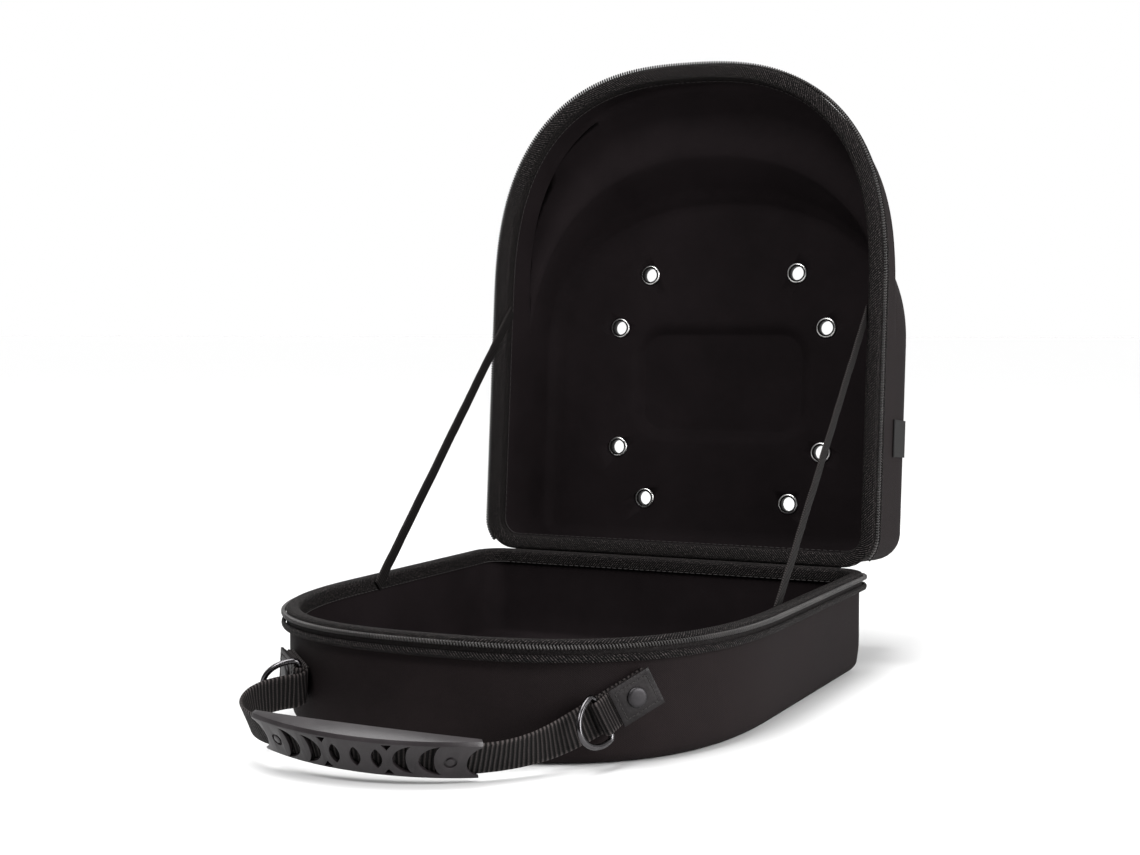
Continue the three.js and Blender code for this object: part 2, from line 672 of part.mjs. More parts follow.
function spurShape(side) {
  const low = SPUR.middle - SPUR.high / 2;
  return new THREE.Shape([
    new THREE.Vector2(-SPUR.wide / 2, side * (low + SPUR.high)), new THREE.Vector2(0, side * low),
    new THREE.Vector2(SPUR.wide / 2, side * (low + SPUR.high)),
  ]);
}

function handleGrip() {
  const w = GRIP_HEIGHT / 2;
  const c = GRIP_BEVEL;
  const slotWide = WEBBING_WIDTH / 2 + SLOT_CLEAR;
  const slotThick = WEBBING_THICK / 2 + SLOT_CLEAR;
  let grip = toSolid(gripSweep((along) => {
    const front = gripFace(GRIP_FRONT, along);
    const back = -gripFace(GRIP_BACK, along);
    return [
      [w - c, front], [c - w, front], [-w, front - c], [-w, back + c], [c - w, back], [w - c, back],
      [w, back + c], [w, front - c],
    ];
  }, 0));
  grip = grip.subtract(toSolid(gripSweep(() => [
    [slotWide, slotThick], [-slotWide, slotThick], [-slotWide, -slotThick], [slotWide, -slotThick],
  ], 2)));
  const cut = (shape, along) => {
    grip = grip.subtract(gripCutter(shape, along, 0, GRIP_FRONT.middle * 2));
  };
  for (const place of [-1, 0, 1]) {
    cut(lensShape(LENS_HALF.width, LENS_HALF.height), place * LENS_PITCH);
  }
  const notchRadius = (NOTCH_HALF ** 2 + NOTCH_DEPTH ** 2) / (2 * NOTCH_DEPTH);
  for (const side of [-1, 1]) {
    for (const crescent of CRESCENTS) {
      cut(crescentShape(side, crescent), side * crescent.at);
    }
    for (const high of [-1, 1]) {
      cut(spurShape(high), side * SPUR_AT);
    }
    const notch = new THREE.Shape();
    notch.absarc(side * (notchRadius - NOTCH_DEPTH), 0, notchRadius, 0, 2 * PI, false);
    cut(notch, side * GRIP_HALF);
    grip = grip.subtract(ringGroove(side * RING_MARK.at));
  }
  return fromSolid(grip);
}

// Shallow round groove in the grip's face
function ringGroove(along) {
  const frame = gripFrame(along);
  const top = GRIP_FRONT.middle + 1;
  const bottom = gripFace(GRIP_FRONT, along) - RING_MARK.deep;
  const profile = [
    [RING_MARK.radius - RING_MARK.groove, bottom], [RING_MARK.radius, bottom], [RING_MARK.radius, top],
    [RING_MARK.radius - RING_MARK.groove, top], [RING_MARK.radius - RING_MARK.groove, bottom],
  ].map(([radius, off]) => new THREE.Vector2(radius, off));
  const groove = new THREE.LatheGeometry(profile, 10);
  groove.rotateX(PI / 2);
  groove.applyMatrix4(new THREE.Matrix4().makeBasis(
    new THREE.Vector3().crossVectors(frame.across, frame.out), frame.across, frame.out)
    .setPosition(frame.centre));
  return toSolid(groove);
}

// Short webbing loop, sewn flat under the patch and open round the ring's bar
function ringLoop(side) {
  const outer = RING_WIRE + GAP + WEBBING_THICK;
  const inner = RING_WIRE + GAP;
  const tail = -PATCH_LENGTH / 2 + 1;
  const neck = PATCH_LENGTH / 2 + 0.5;
  const { ringAt } = tabOf(side);
  const shape = new THREE.Shape();
  shape.moveTo(tail, loopOff);
  shape.lineTo(ringAt, loopOff);
  shape.absarc(ringAt, barOff, outer, -PI / 2, PI / 2, false);
  shape.lineTo(neck, patchOff - GAP);
  shape.lineTo(tail, patchOff - GAP);
  const eye = new THREE.Path();
  eye.absarc(ringAt, barOff, inner, PI * 0.6, -PI / 2, true);
  eye.lineTo(ringAt - inner * 1.8, loopOff + WEBBING_THICK);
  shape.holes.push(eye);
  const loop = new THREE.ExtrudeGeometry(shape, {
    depth: WEBBING_WIDTH, bevelEnabled: false, steps: 1, curveSegments: 6,
  });
  loop.translate(0, 0, -WEBBING_WIDTH / 2);
  return placeInFrame(loop, patchFrame(side), 'down', 'out', 'across');
}

// D-ring: a straight bar in the loop and a round bow that swings out from the wall
function dRing(side) {
  const frame = patchFrame(side);
  const { ringAt, swing } = tabOf(side);
  const reach = frame.down.clone().multiplyScalar(cos(swing)).addScaledVector(frame.out, sin(swing));
  const middle = frame.at(ringAt, barOff);
  const half = RING_BAR / 2;
  const corner = 1.4;
  const path = [];
  for (let i = 0; i <= 4; i += 1) {
    path.push([-half + corner + (half - corner) * 2 * i / 4, 0]);
  }
  const bowSteps = 12;
  for (let i = 0; i <= bowSteps; i += 1) {
    const turn = (i / bowSteps) * PI;
    path.push([half * cos(turn), corner + (RING_REACH - corner) * sin(turn)]);
  }
  const sides = 6;
  const at = ([wide, out]) => middle.clone().addScaledVector(frame.across, wide).addScaledVector(reach, out);
  const flat = new THREE.Vector3().crossVectors(frame.across, reach).normalize();
  const rings = path.map((place, i) => {
    const before = at(path[(i + path.length - 1) % path.length]);
    const after = at(path[(i + 1) % path.length]);
    const along = after.sub(before).normalize();
    const side2 = new THREE.Vector3().crossVectors(along, flat).normalize();
    return Array.from({ length: sides }, (_, j) => at(place)
      .addScaledVector(flat, RING_WIRE * cos(j / sides * 2 * PI))
      .addScaledVector(side2, RING_WIRE * sin(j / sides * 2 * PI)));
  });
  return loft(rings, true);
}

function patch(side) {
  const shape = new THREE.Shape(roundedRectangle(PATCH_LENGTH / 2, PATCH_WIDTH / 2, 1.5, 2));
  const slab = new THREE.ExtrudeGeometry(shape, { depth: PATCH_THICK, bevelEnabled: false, steps: 1 });
  slab.translate(0, 0, patchOff);
  return placeInFrame(slab, patchFrame(side), 'down', 'across', 'out');
}

function rivet(side) {
  const disc = new THREE.CylinderGeometry(RIVET_RADIUS - 0.6, RIVET_RADIUS, RIVET_THICK, 14);
  disc.rotateX(PI / 2).translate(0, 0, rivetOff + RIVET_THICK / 2);
  return placeInFrame(disc, patchFrame(side), 'down', 'across', 'out');
}

// Cloth label on the lid's flank, along the leaning wall
function sideLabel() {
  const slab = new THREE.BoxGeometry(LABEL.thick, LABEL.high, LABEL.long);
  const lean = Math.atan(LID_DRAFT / LID_OUTSIDE);
  const wall = HALF_WIDTH - LID_INSET - LID_DRAFT * LABEL.depth / LID_OUTSIDE;
  slab.rotateY(-lean).translate(wall + GAP + 0.05 + LABEL.thick / 2, -LABEL.fromHinge, LABEL.depth);
  return slab;
}

// Slider parked at the left end of the tray's teeth, with its pull hanging beside the wall
const sliderSpot = { inset: tapeFace(-1) - GAP, height: -0.6 };

function sliderFrame() {
  const end = outline()[outline().length - 2];
  const beyond = { x: end.x, v: end.v, nx: end.nx, nv: end.nv };
  const out = new THREE.Vector3(beyond.nx, -beyond.nv, 0);
  const centre = new THREE.Vector3(beyond.x, -beyond.v, 0).addScaledVector(out, -sliderSpot.inset);
  return { out, centre, along: new THREE.Vector3(-out.y, out.x, 0) };
}

function zipSlider() {
  const { out, centre, along } = sliderFrame();
  const shape = new THREE.Shape(roundedRectangle(SLIDER.long / 2, SLIDER.high / 2, 2, 2));
  const slab = new THREE.ExtrudeGeometry(shape, { depth: SLIDER.thick, bevelEnabled: false, steps: 1 });
  slab.applyMatrix4(new THREE.Matrix4().makeBasis(along, new THREE.Vector3(0, 0, 1),
    new THREE.Vector3().crossVectors(along, new THREE.Vector3(0, 0, 1)))
    .setPosition(centre.clone().setZ(sliderSpot.height - SLIDER.high / 2 + SHELL_LIP)));
  return slab;
}

function zipPull() {
  const { out, centre, along } = sliderFrame();
  const shape = new THREE.Shape(roundedRectangle(PULL.wide / 2, PULL.long / 2, 1.5, 2));
  const slab = new THREE.ExtrudeGeometry(shape, { depth: PULL.thick, bevelEnabled: false, steps: 1 });
  const hang = sliderSpot.height + SHELL_LIP - PULL.long / 2;
  slab.applyMatrix4(new THREE.Matrix4().makeBasis(along, new THREE.Vector3(0, 0, 1),
    new THREE.Vector3().crossVectors(along, new THREE.Vector3(0, 0, 1)))
    .setPosition(centre.clone().addScaledVector(out, SLIDER.thick + GAP).setZ(hang)));
  return slab;
}

// Finishes: colour, roughness, metalness
const FINISH = {
  shell: ['#211c1c', 0.85, 0],
  twill: ['#2b2726', 0.8, 0],
  tape: ['#1a1717', 0.85, 0],
  teeth: ['#262323', 0.5, 0],
  webbing: ['#1d1a1a', 0.85, 0],
  grip: ['#3c3735', 0.55, 0],
  leather: ['#242020', 0.6, 0],
  label: ['#161414', 0.8, 0],
  nickel: ['#c9c9c6', 0.3, 1],
  blackMetal: ['#3a3a3c', 0.35, 1],
};

function addPiece(group, name, geometry, finish) {
  const [colour, roughness, metalness] = FINISH[finish];
  const material = new THREE.MeshStandardMaterial({ color: colour, roughness, metalness });
  const mesh = new THREE.Mesh(geometry, material);
  mesh.name = name;
  group.add(mesh);
  return mesh;
}

// One half's edge parts; the tray and the lid carry the same ones
function addRim(group, half, way) {
  addPiece(group, `${half}_binding`, binding(way), 'twill');
  addPiece(group, `${half}_zip_tape`, zipTape(way), 'tape');
  addPiece(group, `${half}_zip_teeth`, zipTeeth(way), 'teeth');
  addPiece(group, `${half}_piping`, piping(way), 'twill');
}

const carrierCase = new THREE.Group();

const tray = new THREE.Group();
tray.position.set(0, CASE_LENGTH / 2, RIM_HEIGHT);
addPiece(tray, 'base_shell', trayShell(), 'shell');
addRim(tray, 'base', -1);
addPiece(tray, 'hinge_strip', hingeStrip(), 'twill');
addPiece(tray, 'tether_left', stayStrap(-1), 'webbing');
addPiece(tray, 'tether_right', stayStrap(1), 'webbing');
addPiece(tray, 'zip_slider', zipSlider(), 'blackMetal');
addPiece(tray, 'zip_pull', zipPull(), 'blackMetal');
carrierCase.add(tray);

const lid = new THREE.Group();
lid.position.copy(tray.position);
lid.rotation.x = -LID_OPENING;
addPiece(lid, 'lid_shell', lidShell(), 'shell');
addRim(lid, 'lid', 1);
eyeletPlaces().forEach(({ x, v }, i) => {
  addPiece(lid, `eyelet_${i + 1}`, eyelet(), 'nickel').position.set(x, -v, 0);
});
addPiece(lid, 'side_label', sideLabel(), 'label');
carrierCase.add(lid);

const handle = new THREE.Group();
addPiece(handle, 'handle_webbing', handleWebbing(), 'webbing');
addPiece(handle, 'handle_grip', handleGrip(), 'grip');
for (const [name, side] of [['left', -1], ['right', 1]]) {
  addPiece(handle, `loop_${name}`, ringLoop(side), 'webbing');
  addPiece(handle, `d_ring_${name}`, dRing(side), 'blackMetal');
  addPiece(handle, `patch_${name}`, patch(side), 'leather');
  addPiece(handle, `rivet_${name}`, rivet(side), 'blackMetal');
}
carrierCase.add(handle);

export default carrierCase;
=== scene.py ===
# Zip case for carrying caps: cloth-covered shells, twill edging, coil zip, stay straps, webbing handle
import random
from math import asin, cos, hypot, pi, radians, sin

import bmesh
import bpy
from mathutils import Matrix, Vector


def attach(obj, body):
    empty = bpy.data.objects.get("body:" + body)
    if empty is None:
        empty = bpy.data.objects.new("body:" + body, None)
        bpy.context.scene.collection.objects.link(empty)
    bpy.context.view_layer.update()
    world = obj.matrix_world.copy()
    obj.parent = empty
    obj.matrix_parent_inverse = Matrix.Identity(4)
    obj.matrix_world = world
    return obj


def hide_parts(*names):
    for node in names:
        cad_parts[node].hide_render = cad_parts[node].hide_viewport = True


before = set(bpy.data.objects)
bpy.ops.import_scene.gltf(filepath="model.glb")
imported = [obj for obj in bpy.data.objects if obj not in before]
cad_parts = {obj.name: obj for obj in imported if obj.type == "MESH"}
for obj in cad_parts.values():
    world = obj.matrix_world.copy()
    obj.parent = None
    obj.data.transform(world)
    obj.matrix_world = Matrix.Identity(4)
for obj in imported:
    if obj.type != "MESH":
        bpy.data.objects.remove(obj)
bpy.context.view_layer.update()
scene = bpy.context.scene
mm = 0.001
print("frame loaded:", len(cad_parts), "nodes")

# the plan and the lie of both halves, in millimetres, as the CAD has them
caseForm = {"width": 236, "length": 283, "roundEnd": 133.5, "roundPower": 2.57, "hingeCorner": 18,
            "hingeSetback": 2, "rimHeight": 51, "lidOpening": radians(94.7)}
halfWidth = caseForm["width"] / 2
endStart = caseForm["length"] - caseForm["roundEnd"]


# the camera that took the photograph
cameraSetup = {"place": (0.3715, -0.7763, 0.1812), "yaw": 25.37, "pitch": -3.13, "lens": 55.28, "sensor": 36}


def addObject(name, data):
    made = bpy.data.objects.new(name, data)
    scene.collection.objects.link(made)
    return made


def lookAlong(direction):     # a camera's or lamp's turn, so that it faces this way
    return direction.to_track_quat("-Z", "Y").to_euler()


def makeCamera(setup):
    camera = bpy.data.cameras.new("camera")
    camera.lens = setup["lens"]
    camera.sensor_width = setup["sensor"]
    camera.sensor_fit = "HORIZONTAL"
    holder = addObject("camera", camera)
    yaw, pitch = radians(setup["yaw"]), radians(setup["pitch"])
    holder.rotation_euler = lookAlong(Vector((-sin(yaw) * cos(pitch), cos(yaw) * cos(pitch), sin(pitch))))
    holder.location = setup["place"]
    scene.camera = holder


makeCamera(cameraSetup)


# shader groups that the finishes share
def newGroup(name, inputs, outputs):      # a socket with no value is a vector
    group = bpy.data.node_groups.new(name, "ShaderNodeTree")
    for label, value in inputs.items():
        kind = "NodeSocketVector" if value is None else "NodeSocketFloat"
        socket = group.interface.new_socket(label, in_out="INPUT", socket_type=kind)
        if value is not None:
            socket.default_value = value
    for label in outputs:
        kind = "NodeSocketVector" if label == "Vector" else "NodeSocketFloat"
        group.interface.new_socket(label, in_out="OUTPUT", socket_type=kind)
    start = group.nodes.new("NodeGroupInput")
    end = group.nodes.new("NodeGroupOutput")
    return group, start.outputs, end.inputs


def feed(tree, socket, value):            # a socket takes a plain number or another node's output
    if isinstance(value, (int, float)):
        socket.default_value = value
    else:
        tree.links.new(value, socket)


def addNode(tree, kind, **values):
    node = tree.nodes.new(f"ShaderNode{kind}")
    for label, value in values.items():
        feed(tree, node.inputs[label.replace("_", " ")], value)
    return node


def maths(tree, operation, *values):
    node = addNode(tree, "Math")
    node.operation = operation
    for socket, value in zip(node.inputs, values):
        feed(tree, socket, value)
    return node.outputs[0]


def mixOf(tree, share, first, second):
    node = addNode(tree, "Mix")
    for slotIndex, value in ((0, share), (2, first), (3, second)):
        feed(tree, node.inputs[slotIndex], value)
    return node.outputs[0]


def noiseAt(tree, vector, scale, detail=2.0, roughness=0.5):
    node = addNode(tree, "TexNoise", Vector=vector, Scale=scale, Detail=detail, Roughness=roughness)
    return node.outputs["Fac"]


def splitVector(tree, vector):
    return addNode(tree, "SeparateXYZ", Vector=vector).outputs


def wavesOf(tree, value, perMetre):       # smooth ribs, 0 to 1, so many to a metre
    turn = maths(tree, "MULTIPLY", maths(tree, "MULTIPLY", value, perMetre), 2 * pi)
    return maths(tree, "MULTIPLY_ADD", maths(tree, "SINE", turn), 0.5, 0.5)


def makeTwillGroup():     # slanting ribs broken up by threads, with painted glints on the rib tops; the vector is metres along and across
    group, given, made = newGroup("twillRibs", {"Vector": None, "Ribs": 900.0, "Slant": 0.8},
                                  ("Height", "Glint"))
    along, across, _ = splitVector(group, given["Vector"])
    slanted = maths(group, "MULTIPLY_ADD", across, given["Slant"], along)
    wobble = noiseAt(group, given["Vector"], 160.0)
    ribs = wavesOf(group, maths(group, "MULTIPLY_ADD", wobble, 0.0006, slanted), given["Ribs"])
    threads = wavesOf(group, across, maths(group, "MULTIPLY", given["Ribs"], 1.3))
    height = maths(group, "MULTIPLY_ADD", threads, 0.25, maths(group, "MULTIPLY", ribs, 0.75))
    # painted glints: a lighter colour on the rib tops in noisy patches; the Glint output carries this painted
    # highlight
    highlightPatches = noiseAt(group, given["Vector"], 900.0, 3.0, 0.7)
    glint = maths(group, "MULTIPLY", maths(group, "POWER", ribs, 2.0), maths(group, "POWER", highlightPatches, 2.0))
    feed(group, made["Height"], height)
    feed(group, made["Glint"], glint)
    return group


def makeWeaveGroup():     # plain weave: threads over and under both ways
    group, given, made = newGroup("plainWeave", {"Vector": None, "Threads": 900.0, "Ribbing": 0.5},
                                  ("Height", "Thread Mask"))
    along, across, _ = splitVector(group, given["Vector"])
    warp, weft = [wavesOf(group, way, given["Threads"]) for way in (along, across)]
    checks = maths(group, "ABSOLUTE", maths(group, "SUBTRACT", warp, weft))
    threads = mixOf(group, given["Ribbing"], checks, warp)
    fuzz = noiseAt(group, given["Vector"], 2400.0)
    feed(group, made["Height"], maths(group, "MULTIPLY_ADD", fuzz, 0.3, threads))
    feed(group, made["Thread Mask"], threads)
    return group


def makeRibGroup():       # webbing: round ribs across it; painted highlights on the rib tops, brighter on the knobbly edges, and painted shade in the grooves
    group, given, made = newGroup("webRibs", {"Vector": None, "Ribs": 480.0, "Half Girth": 0.0166,
                                              "Edge At": 0.0156}, ("Height", "Light"))
    along, across, _ = splitVector(group, given["Vector"])
    wobble = noiseAt(group, given["Vector"], 90.0)
    ribs = wavesOf(group, maths(group, "MULTIPLY_ADD", wobble, 0.0009, along), given["Ribs"])
    threads = wavesOf(group, across, 1250.0)
    turn = maths(group, "DIVIDE", maths(group, "SUBTRACT", across, given["Edge At"]), given["Half Girth"])
    edge = maths(group, "POWER", wavesOf(group, maths(group, "ADD", turn, 0.25), 1.0), 14.0)
    highlightNoise = noiseAt(group, given["Vector"], 1500.0, 3.0, 0.7)
    # painted highlight on the rib tops, broken up by noise, and painted shade in the grooves; the Light
    # output carries it
    highlightPatches = maths(group, "MULTIPLY", maths(group, "POWER", ribs, 1.6),
                 maths(group, "MULTIPLY_ADD", threads, 0.35, highlightNoise))
    # painted highlight on the knobbly edges
    edgeHighlight = maths(group, "MULTIPLY", maths(group, "MULTIPLY", edge, ribs), 0.75)
    feed(group, made["Height"], maths(group, "MULTIPLY_ADD", threads, 0.12, ribs))
    feed(group, made["Light"], maths(group, "MULTIPLY_ADD", highlightPatches, 0.55, edgeHighlight))
    return group


def makeBoxMapGroup():    # flat coordinates on a solid: the two axes that face the surface
    group, given, made = newGroup("boxMap", {"Position": None, "Normal": None}, ("Vector",))
    x, y, z = splitVector(group, given["Position"])
    nx, ny, nz = [maths(group, "ABSOLUTE", n) for n in splitVector(group, given["Normal"])]
    flat = maths(group, "GREATER_THAN", nz, maths(group, "MAXIMUM", nx, ny))
    sideways = maths(group, "GREATER_THAN", nx, ny)
    along = mixOf(group, flat, mixOf(group, sideways, x, y), x)
    join = addNode(group, "CombineXYZ", X=along, Y=mixOf(group, flat, z, y))
    feed(group, made["Vector"], join.outputs[0])
    return group


def makeNapGroup():       # soft uneven cloth: broad patches and fine fuzz
    group, given, made = newGroup("clothNap", {"Vector": None, "Fuzz Scale": 1500.0, "Patch Scale": 24.0},
                                  ("Height", "Patches"))
    feed(group, made["Height"], noiseAt(group, given["Vector"], given["Fuzz Scale"], 3.0, 0.6))
    feed(group, made["Patches"], noiseAt(group, given["Vector"], given["Patch Scale"], 4.0, 0.6))
    return group


def makeGrainGroup():     # small pebbles of leather or moulded plastic
    group, given, made = newGroup("pebbleGrain", {"Vector": None, "Pebbles": 900.0}, ("Height", "Wear"))
    pebbles = addNode(group, "TexVoronoi")
    pebbles.feature = "SMOOTH_F1"
    feed(group, pebbles.inputs["Vector"], given["Vector"])
    feed(group, pebbles.inputs["Scale"], given["Pebbles"])
    fine = noiseAt(group, given["Vector"], 3000.0)
    feed(group, made["Height"], maths(group, "MULTIPLY_ADD", fine, 0.4, pebbles.outputs["Distance"]))
    feed(group, made["Wear"], noiseAt(group, given["Vector"], 70.0, 4.0, 0.65))
    return group


twillRibs = makeTwillGroup()
plainWeave = makeWeaveGroup()
webRibs = makeRibGroup()
boxMap = makeBoxMapGroup()
clothNap = makeNapGroup()
pebbleGrain = makeGrainGroup()
print("shader groups ready")


# finishes
class Finish:             # a material with its Principled shader at hand

    def __init__(self, name, roughness=0.8, metallic=0.0, **sockets):
        self.material = bpy.data.materials.new(name)
        self.material.use_nodes = True
        self.tree = self.material.node_tree
        self.shader = self.tree.nodes["Principled BSDF"]
        self.shader.inputs["Roughness"].default_value = roughness
        self.shader.inputs["Metallic"].default_value = metallic
        for label, value in sockets.items():
            self.shader.inputs[label.replace("_", " ")].default_value = value
        self.where = addNode(self.tree, "TexCoord").outputs

    def group(self, tree, vector, **values):
        node = addNode(self.tree, "Group")
        node.node_tree = tree
        feed(self.tree, node.inputs[0], vector)
        for label, value in values.items():
            feed(self.tree, node.inputs[label.replace("_", " ")], value)
        return node.outputs

    def colours(self, mask, dark, light, low=0.0, high=1.0):    # base colour between two tones
        ramp = addNode(self.tree, "ValToRGB", Fac=mask)
        for stop, position, tone in zip(ramp.color_ramp.elements, (low, high), (dark, light)):
            stop.position = position
            stop.color = (*tone, 1)
        feed(self.tree, self.shader.inputs["Base Color"], ramp.outputs[0])

    def roughnessFrom(self, mask, low, high):
        node = addNode(self.tree, "MapRange", Value=mask, To_Min=low, To_Max=high)
        feed(self.tree, self.shader.inputs["Roughness"], node.outputs[0])

    def bump(self, height, depth, strength=1.0):
        node = addNode(self.tree, "Bump", Height=height, Distance=depth, Strength=strength)
        feed(self.tree, self.shader.inputs["Normal"], node.outputs[0])


def makeShellCloth(name, dark, light, threads, depth, shine):
    finish = Finish(name, roughness=0.85, Specular_IOR_Level=shine)
    where = finish.where["Object"]
    flat = finish.group(boxMap, where, Normal=finish.where["Normal"])
    weave = finish.group(plainWeave, flat[0], Threads=threads, Ribbing=0.2)
    nap = finish.group(clothNap, where)
    mask = maths(finish.tree, "MULTIPLY_ADD", weave["Thread Mask"], 0.25, nap["Patches"])
    finish.colours(mask, dark, light, 0.3, 0.9)
    finish.roughnessFrom(nap["Patches"], 0.72, 0.92)
    height = maths(finish.tree, "MULTIPLY_ADD", nap["Height"], 0.5, weave["Height"])
    finish.bump(height, depth)
    return finish.material


def makeTwill(name, dark, light, ribs, slant, depth):
    finish = Finish(name, roughness=0.6, Specular_IOR_Level=0.1)
    where = finish.where["UV"]
    twill = finish.group(twillRibs, where, Ribs=ribs, Slant=slant)
    # painted glints: the light tone falls where Glint is high, on the rib tops
    finish.colours(twill["Glint"], dark, light, 0.16, 0.45)
    finish.roughnessFrom(twill["Glint"], 0.8, 0.5)
    finish.bump(twill["Height"], depth)
    return finish.material


def makeCloth(name, dark, light, threads, depth):
    finish = Finish(name, roughness=0.7, Specular_IOR_Level=0.25)
    where = finish.where["UV"]
    weave = finish.group(plainWeave, where, Threads=threads, Ribbing=0.7)
    fuzz = finish.group(clothNap, where, Fuzz_Scale=2600.0, Patch_Scale=60.0)
    mask = maths(finish.tree, "MULTIPLY", weave["Thread Mask"],
                 maths(finish.tree, "ADD", fuzz["Patches"], 0.35))
    finish.colours(mask, dark, light, 0.15, 0.9)
    finish.roughnessFrom(weave["Thread Mask"], 0.85, 0.55)
    finish.bump(weave["Height"], depth)
    return finish.material


def makeWebbing(name, dark, light, ribs, halfGirth, edgeAt, depth):
    finish = Finish(name, roughness=0.6, Specular_IOR_Level=0.12)
    weave = finish.group(webRibs, finish.where["UV"], Ribs=ribs, Half_Girth=halfGirth,
                         Edge_At=edgeAt)
    # the light tone is painted highlight on the rib tops and edges; the grooves keep the dark tone as painted
    # shade
    finish.colours(weave["Light"], dark, light, 0.05, 0.75)
    finish.roughnessFrom(weave["Light"], 0.8, 0.45)
    finish.bump(weave["Height"], depth)
    return finish.material


def makeMoulded(name, dark, light, pebbles, depth, roughness, shine):
    finish = Finish(name, roughness=roughness, Specular_IOR_Level=shine)
    grain = finish.group(pebbleGrain, finish.where["Object"], Pebbles=pebbles)
    finish.colours(grain["Wear"], dark, light, 0.3, 0.75)
    finish.roughnessFrom(grain["Wear"], roughness - 0.08, roughness + 0.1)
    finish.bump(grain["Height"], depth)
    return finish.material


def makeMetal(name, dark, light, roughness):
    finish = Finish(name, roughness=roughness, metallic=1.0)
    grain = finish.group(pebbleGrain, finish.where["Object"], Pebbles=1500.0)
    finish.colours(grain["Wear"], dark, light, 0.3, 0.7)
    finish.roughnessFrom(grain["Wear"], roughness - 0.06, roughness + 0.12)
    finish.bump(grain["Height"], 0.00001, 0.4)
    return finish.material


# each finish: its maker, its dark and light tones, then the maker's own values in its order
finishTable = {
    "outerCloth": (makeShellCloth, (0.0052, 0.0036, 0.0038), (0.0108, 0.0077, 0.008), 1100.0, 0.00007, 0.08),
    "lining": (makeShellCloth, (0.0058, 0.0043, 0.0047), (0.0115, 0.0087, 0.0095), 1300.0, 0.00006, 0.05),
    # twill and tape: the light tone is a painted glint; the three webbings: the light tone is painted
    # highlight and the grooves' dark tone painted shade
    "twill": (makeTwill, (0.0008, 0.0006, 0.0006), (0.1, 0.085, 0.083), 714.0, 0.9, 0.0005),
    "tape": (makeTwill, (0.005, 0.004, 0.004), (0.05, 0.045, 0.045), 1200.0, -0.9, 0.00008),
    "webbing": (makeWebbing, (0.0018, 0.0015, 0.0015), (0.047, 0.04, 0.039), 485.0, 0.0166, 0.0156, 0.0006),
    "loopWebbing": (makeWebbing, (0.0018, 0.0015, 0.0015), (0.045, 0.038, 0.037), 660.0, 0.01615, 0.0152,
                    0.0004),
    "stayWebbing": (makeWebbing, (0.0022, 0.0018, 0.0018), (0.022, 0.0185, 0.018), 700.0, 0.0081, 0.0072,
                    0.0003),
    "thread": (makeCloth, (0.01, 0.009, 0.009), (0.05, 0.045, 0.043), 2400.0, 0.00005),
    "label": (makeCloth, (0.001, 0.0008, 0.0008), (0.003, 0.0026, 0.0026), 1900.0, 0.00006),
    "coil": (makeMoulded, (0.006, 0.005, 0.005), (0.03, 0.027, 0.026), 1800.0, 0.00001, 0.32, 0.4),
    "grip": (makeMoulded, (0.0115, 0.0095, 0.0104), (0.021, 0.0176, 0.019), 1700.0, 0.00003, 0.33, 0.3),
    "leather": (makeMoulded, (0.0042, 0.0034, 0.0036), (0.0125, 0.0105, 0.011), 750.0, 0.00009, 0.4, 0.14),
    "nickel": (makeMetal, (0.62, 0.61, 0.6), (0.8, 0.79, 0.78), 0.25),
    "boreShade": (makeMetal, (0.006, 0.006, 0.006), (0.014, 0.013, 0.013), 0.5),
    "ringMetal": (makeMetal, (0.05, 0.048, 0.05), (0.1, 0.096, 0.1), 0.2),
    "darkMetal": (makeMetal, (0.02, 0.019, 0.02), (0.04, 0.038, 0.04), 0.42),
}
finishes = {name: maker(name, *values) for name, (maker, *values) in finishTable.items()}
print("finishes ready:", len(finishes))


# modelling helpers
def smoothShare(share):
    t = min(max(share, 0.0), 1.0)
    return t * t * (3 - 2 * t)


def catmull(a, b, c, d, t):
    return 0.5 * ((2 * b) + (c - a) * t + (2 * a - 5 * b + 4 * c - d) * t * t
                  + (3 * b - a - 3 * c + d) * t ** 3)


def cubicPath(knots, steps):      # places on a cubic curve from the first knot to the last
    a, b, c, d = knots
    return [a * (1 - t) ** 3 + b * 3 * t * (1 - t) ** 2 + c * 3 * t * t * (1 - t) + d * t ** 3
            for t in [i / steps for i in range(steps + 1)]]


def smoothLine(points, steps, closed=False):     # more points on a smooth curve through these
    count = len(points)
    line = []
    for k in range(count if closed else count - 1):
        places = [k + shift for shift in (-1, 0, 1, 2)]
        near = [points[i % count if closed else min(max(i, 0), count - 1)] for i in places]
        line += [catmull(*near, i / steps) for i in range(steps)]
    return line if closed else line + [points[-1]]


def only(made, kind):      # the parts of one kind that an operator made
    return [part for part in made["geom"] if isinstance(part, kind)]


def faceOut(bm):
    bmesh.ops.recalc_face_normals(bm, faces=bm.faces[:])


def startRing(bm, places, closed=True):
    ring = [bm.verts.new(place) for place in places]
    pairs = list(zip(ring, ring[1:] + ring[:1])) if closed else list(zip(ring, ring[1:]))
    return ring, [bm.edges.new(pair) for pair in pairs]


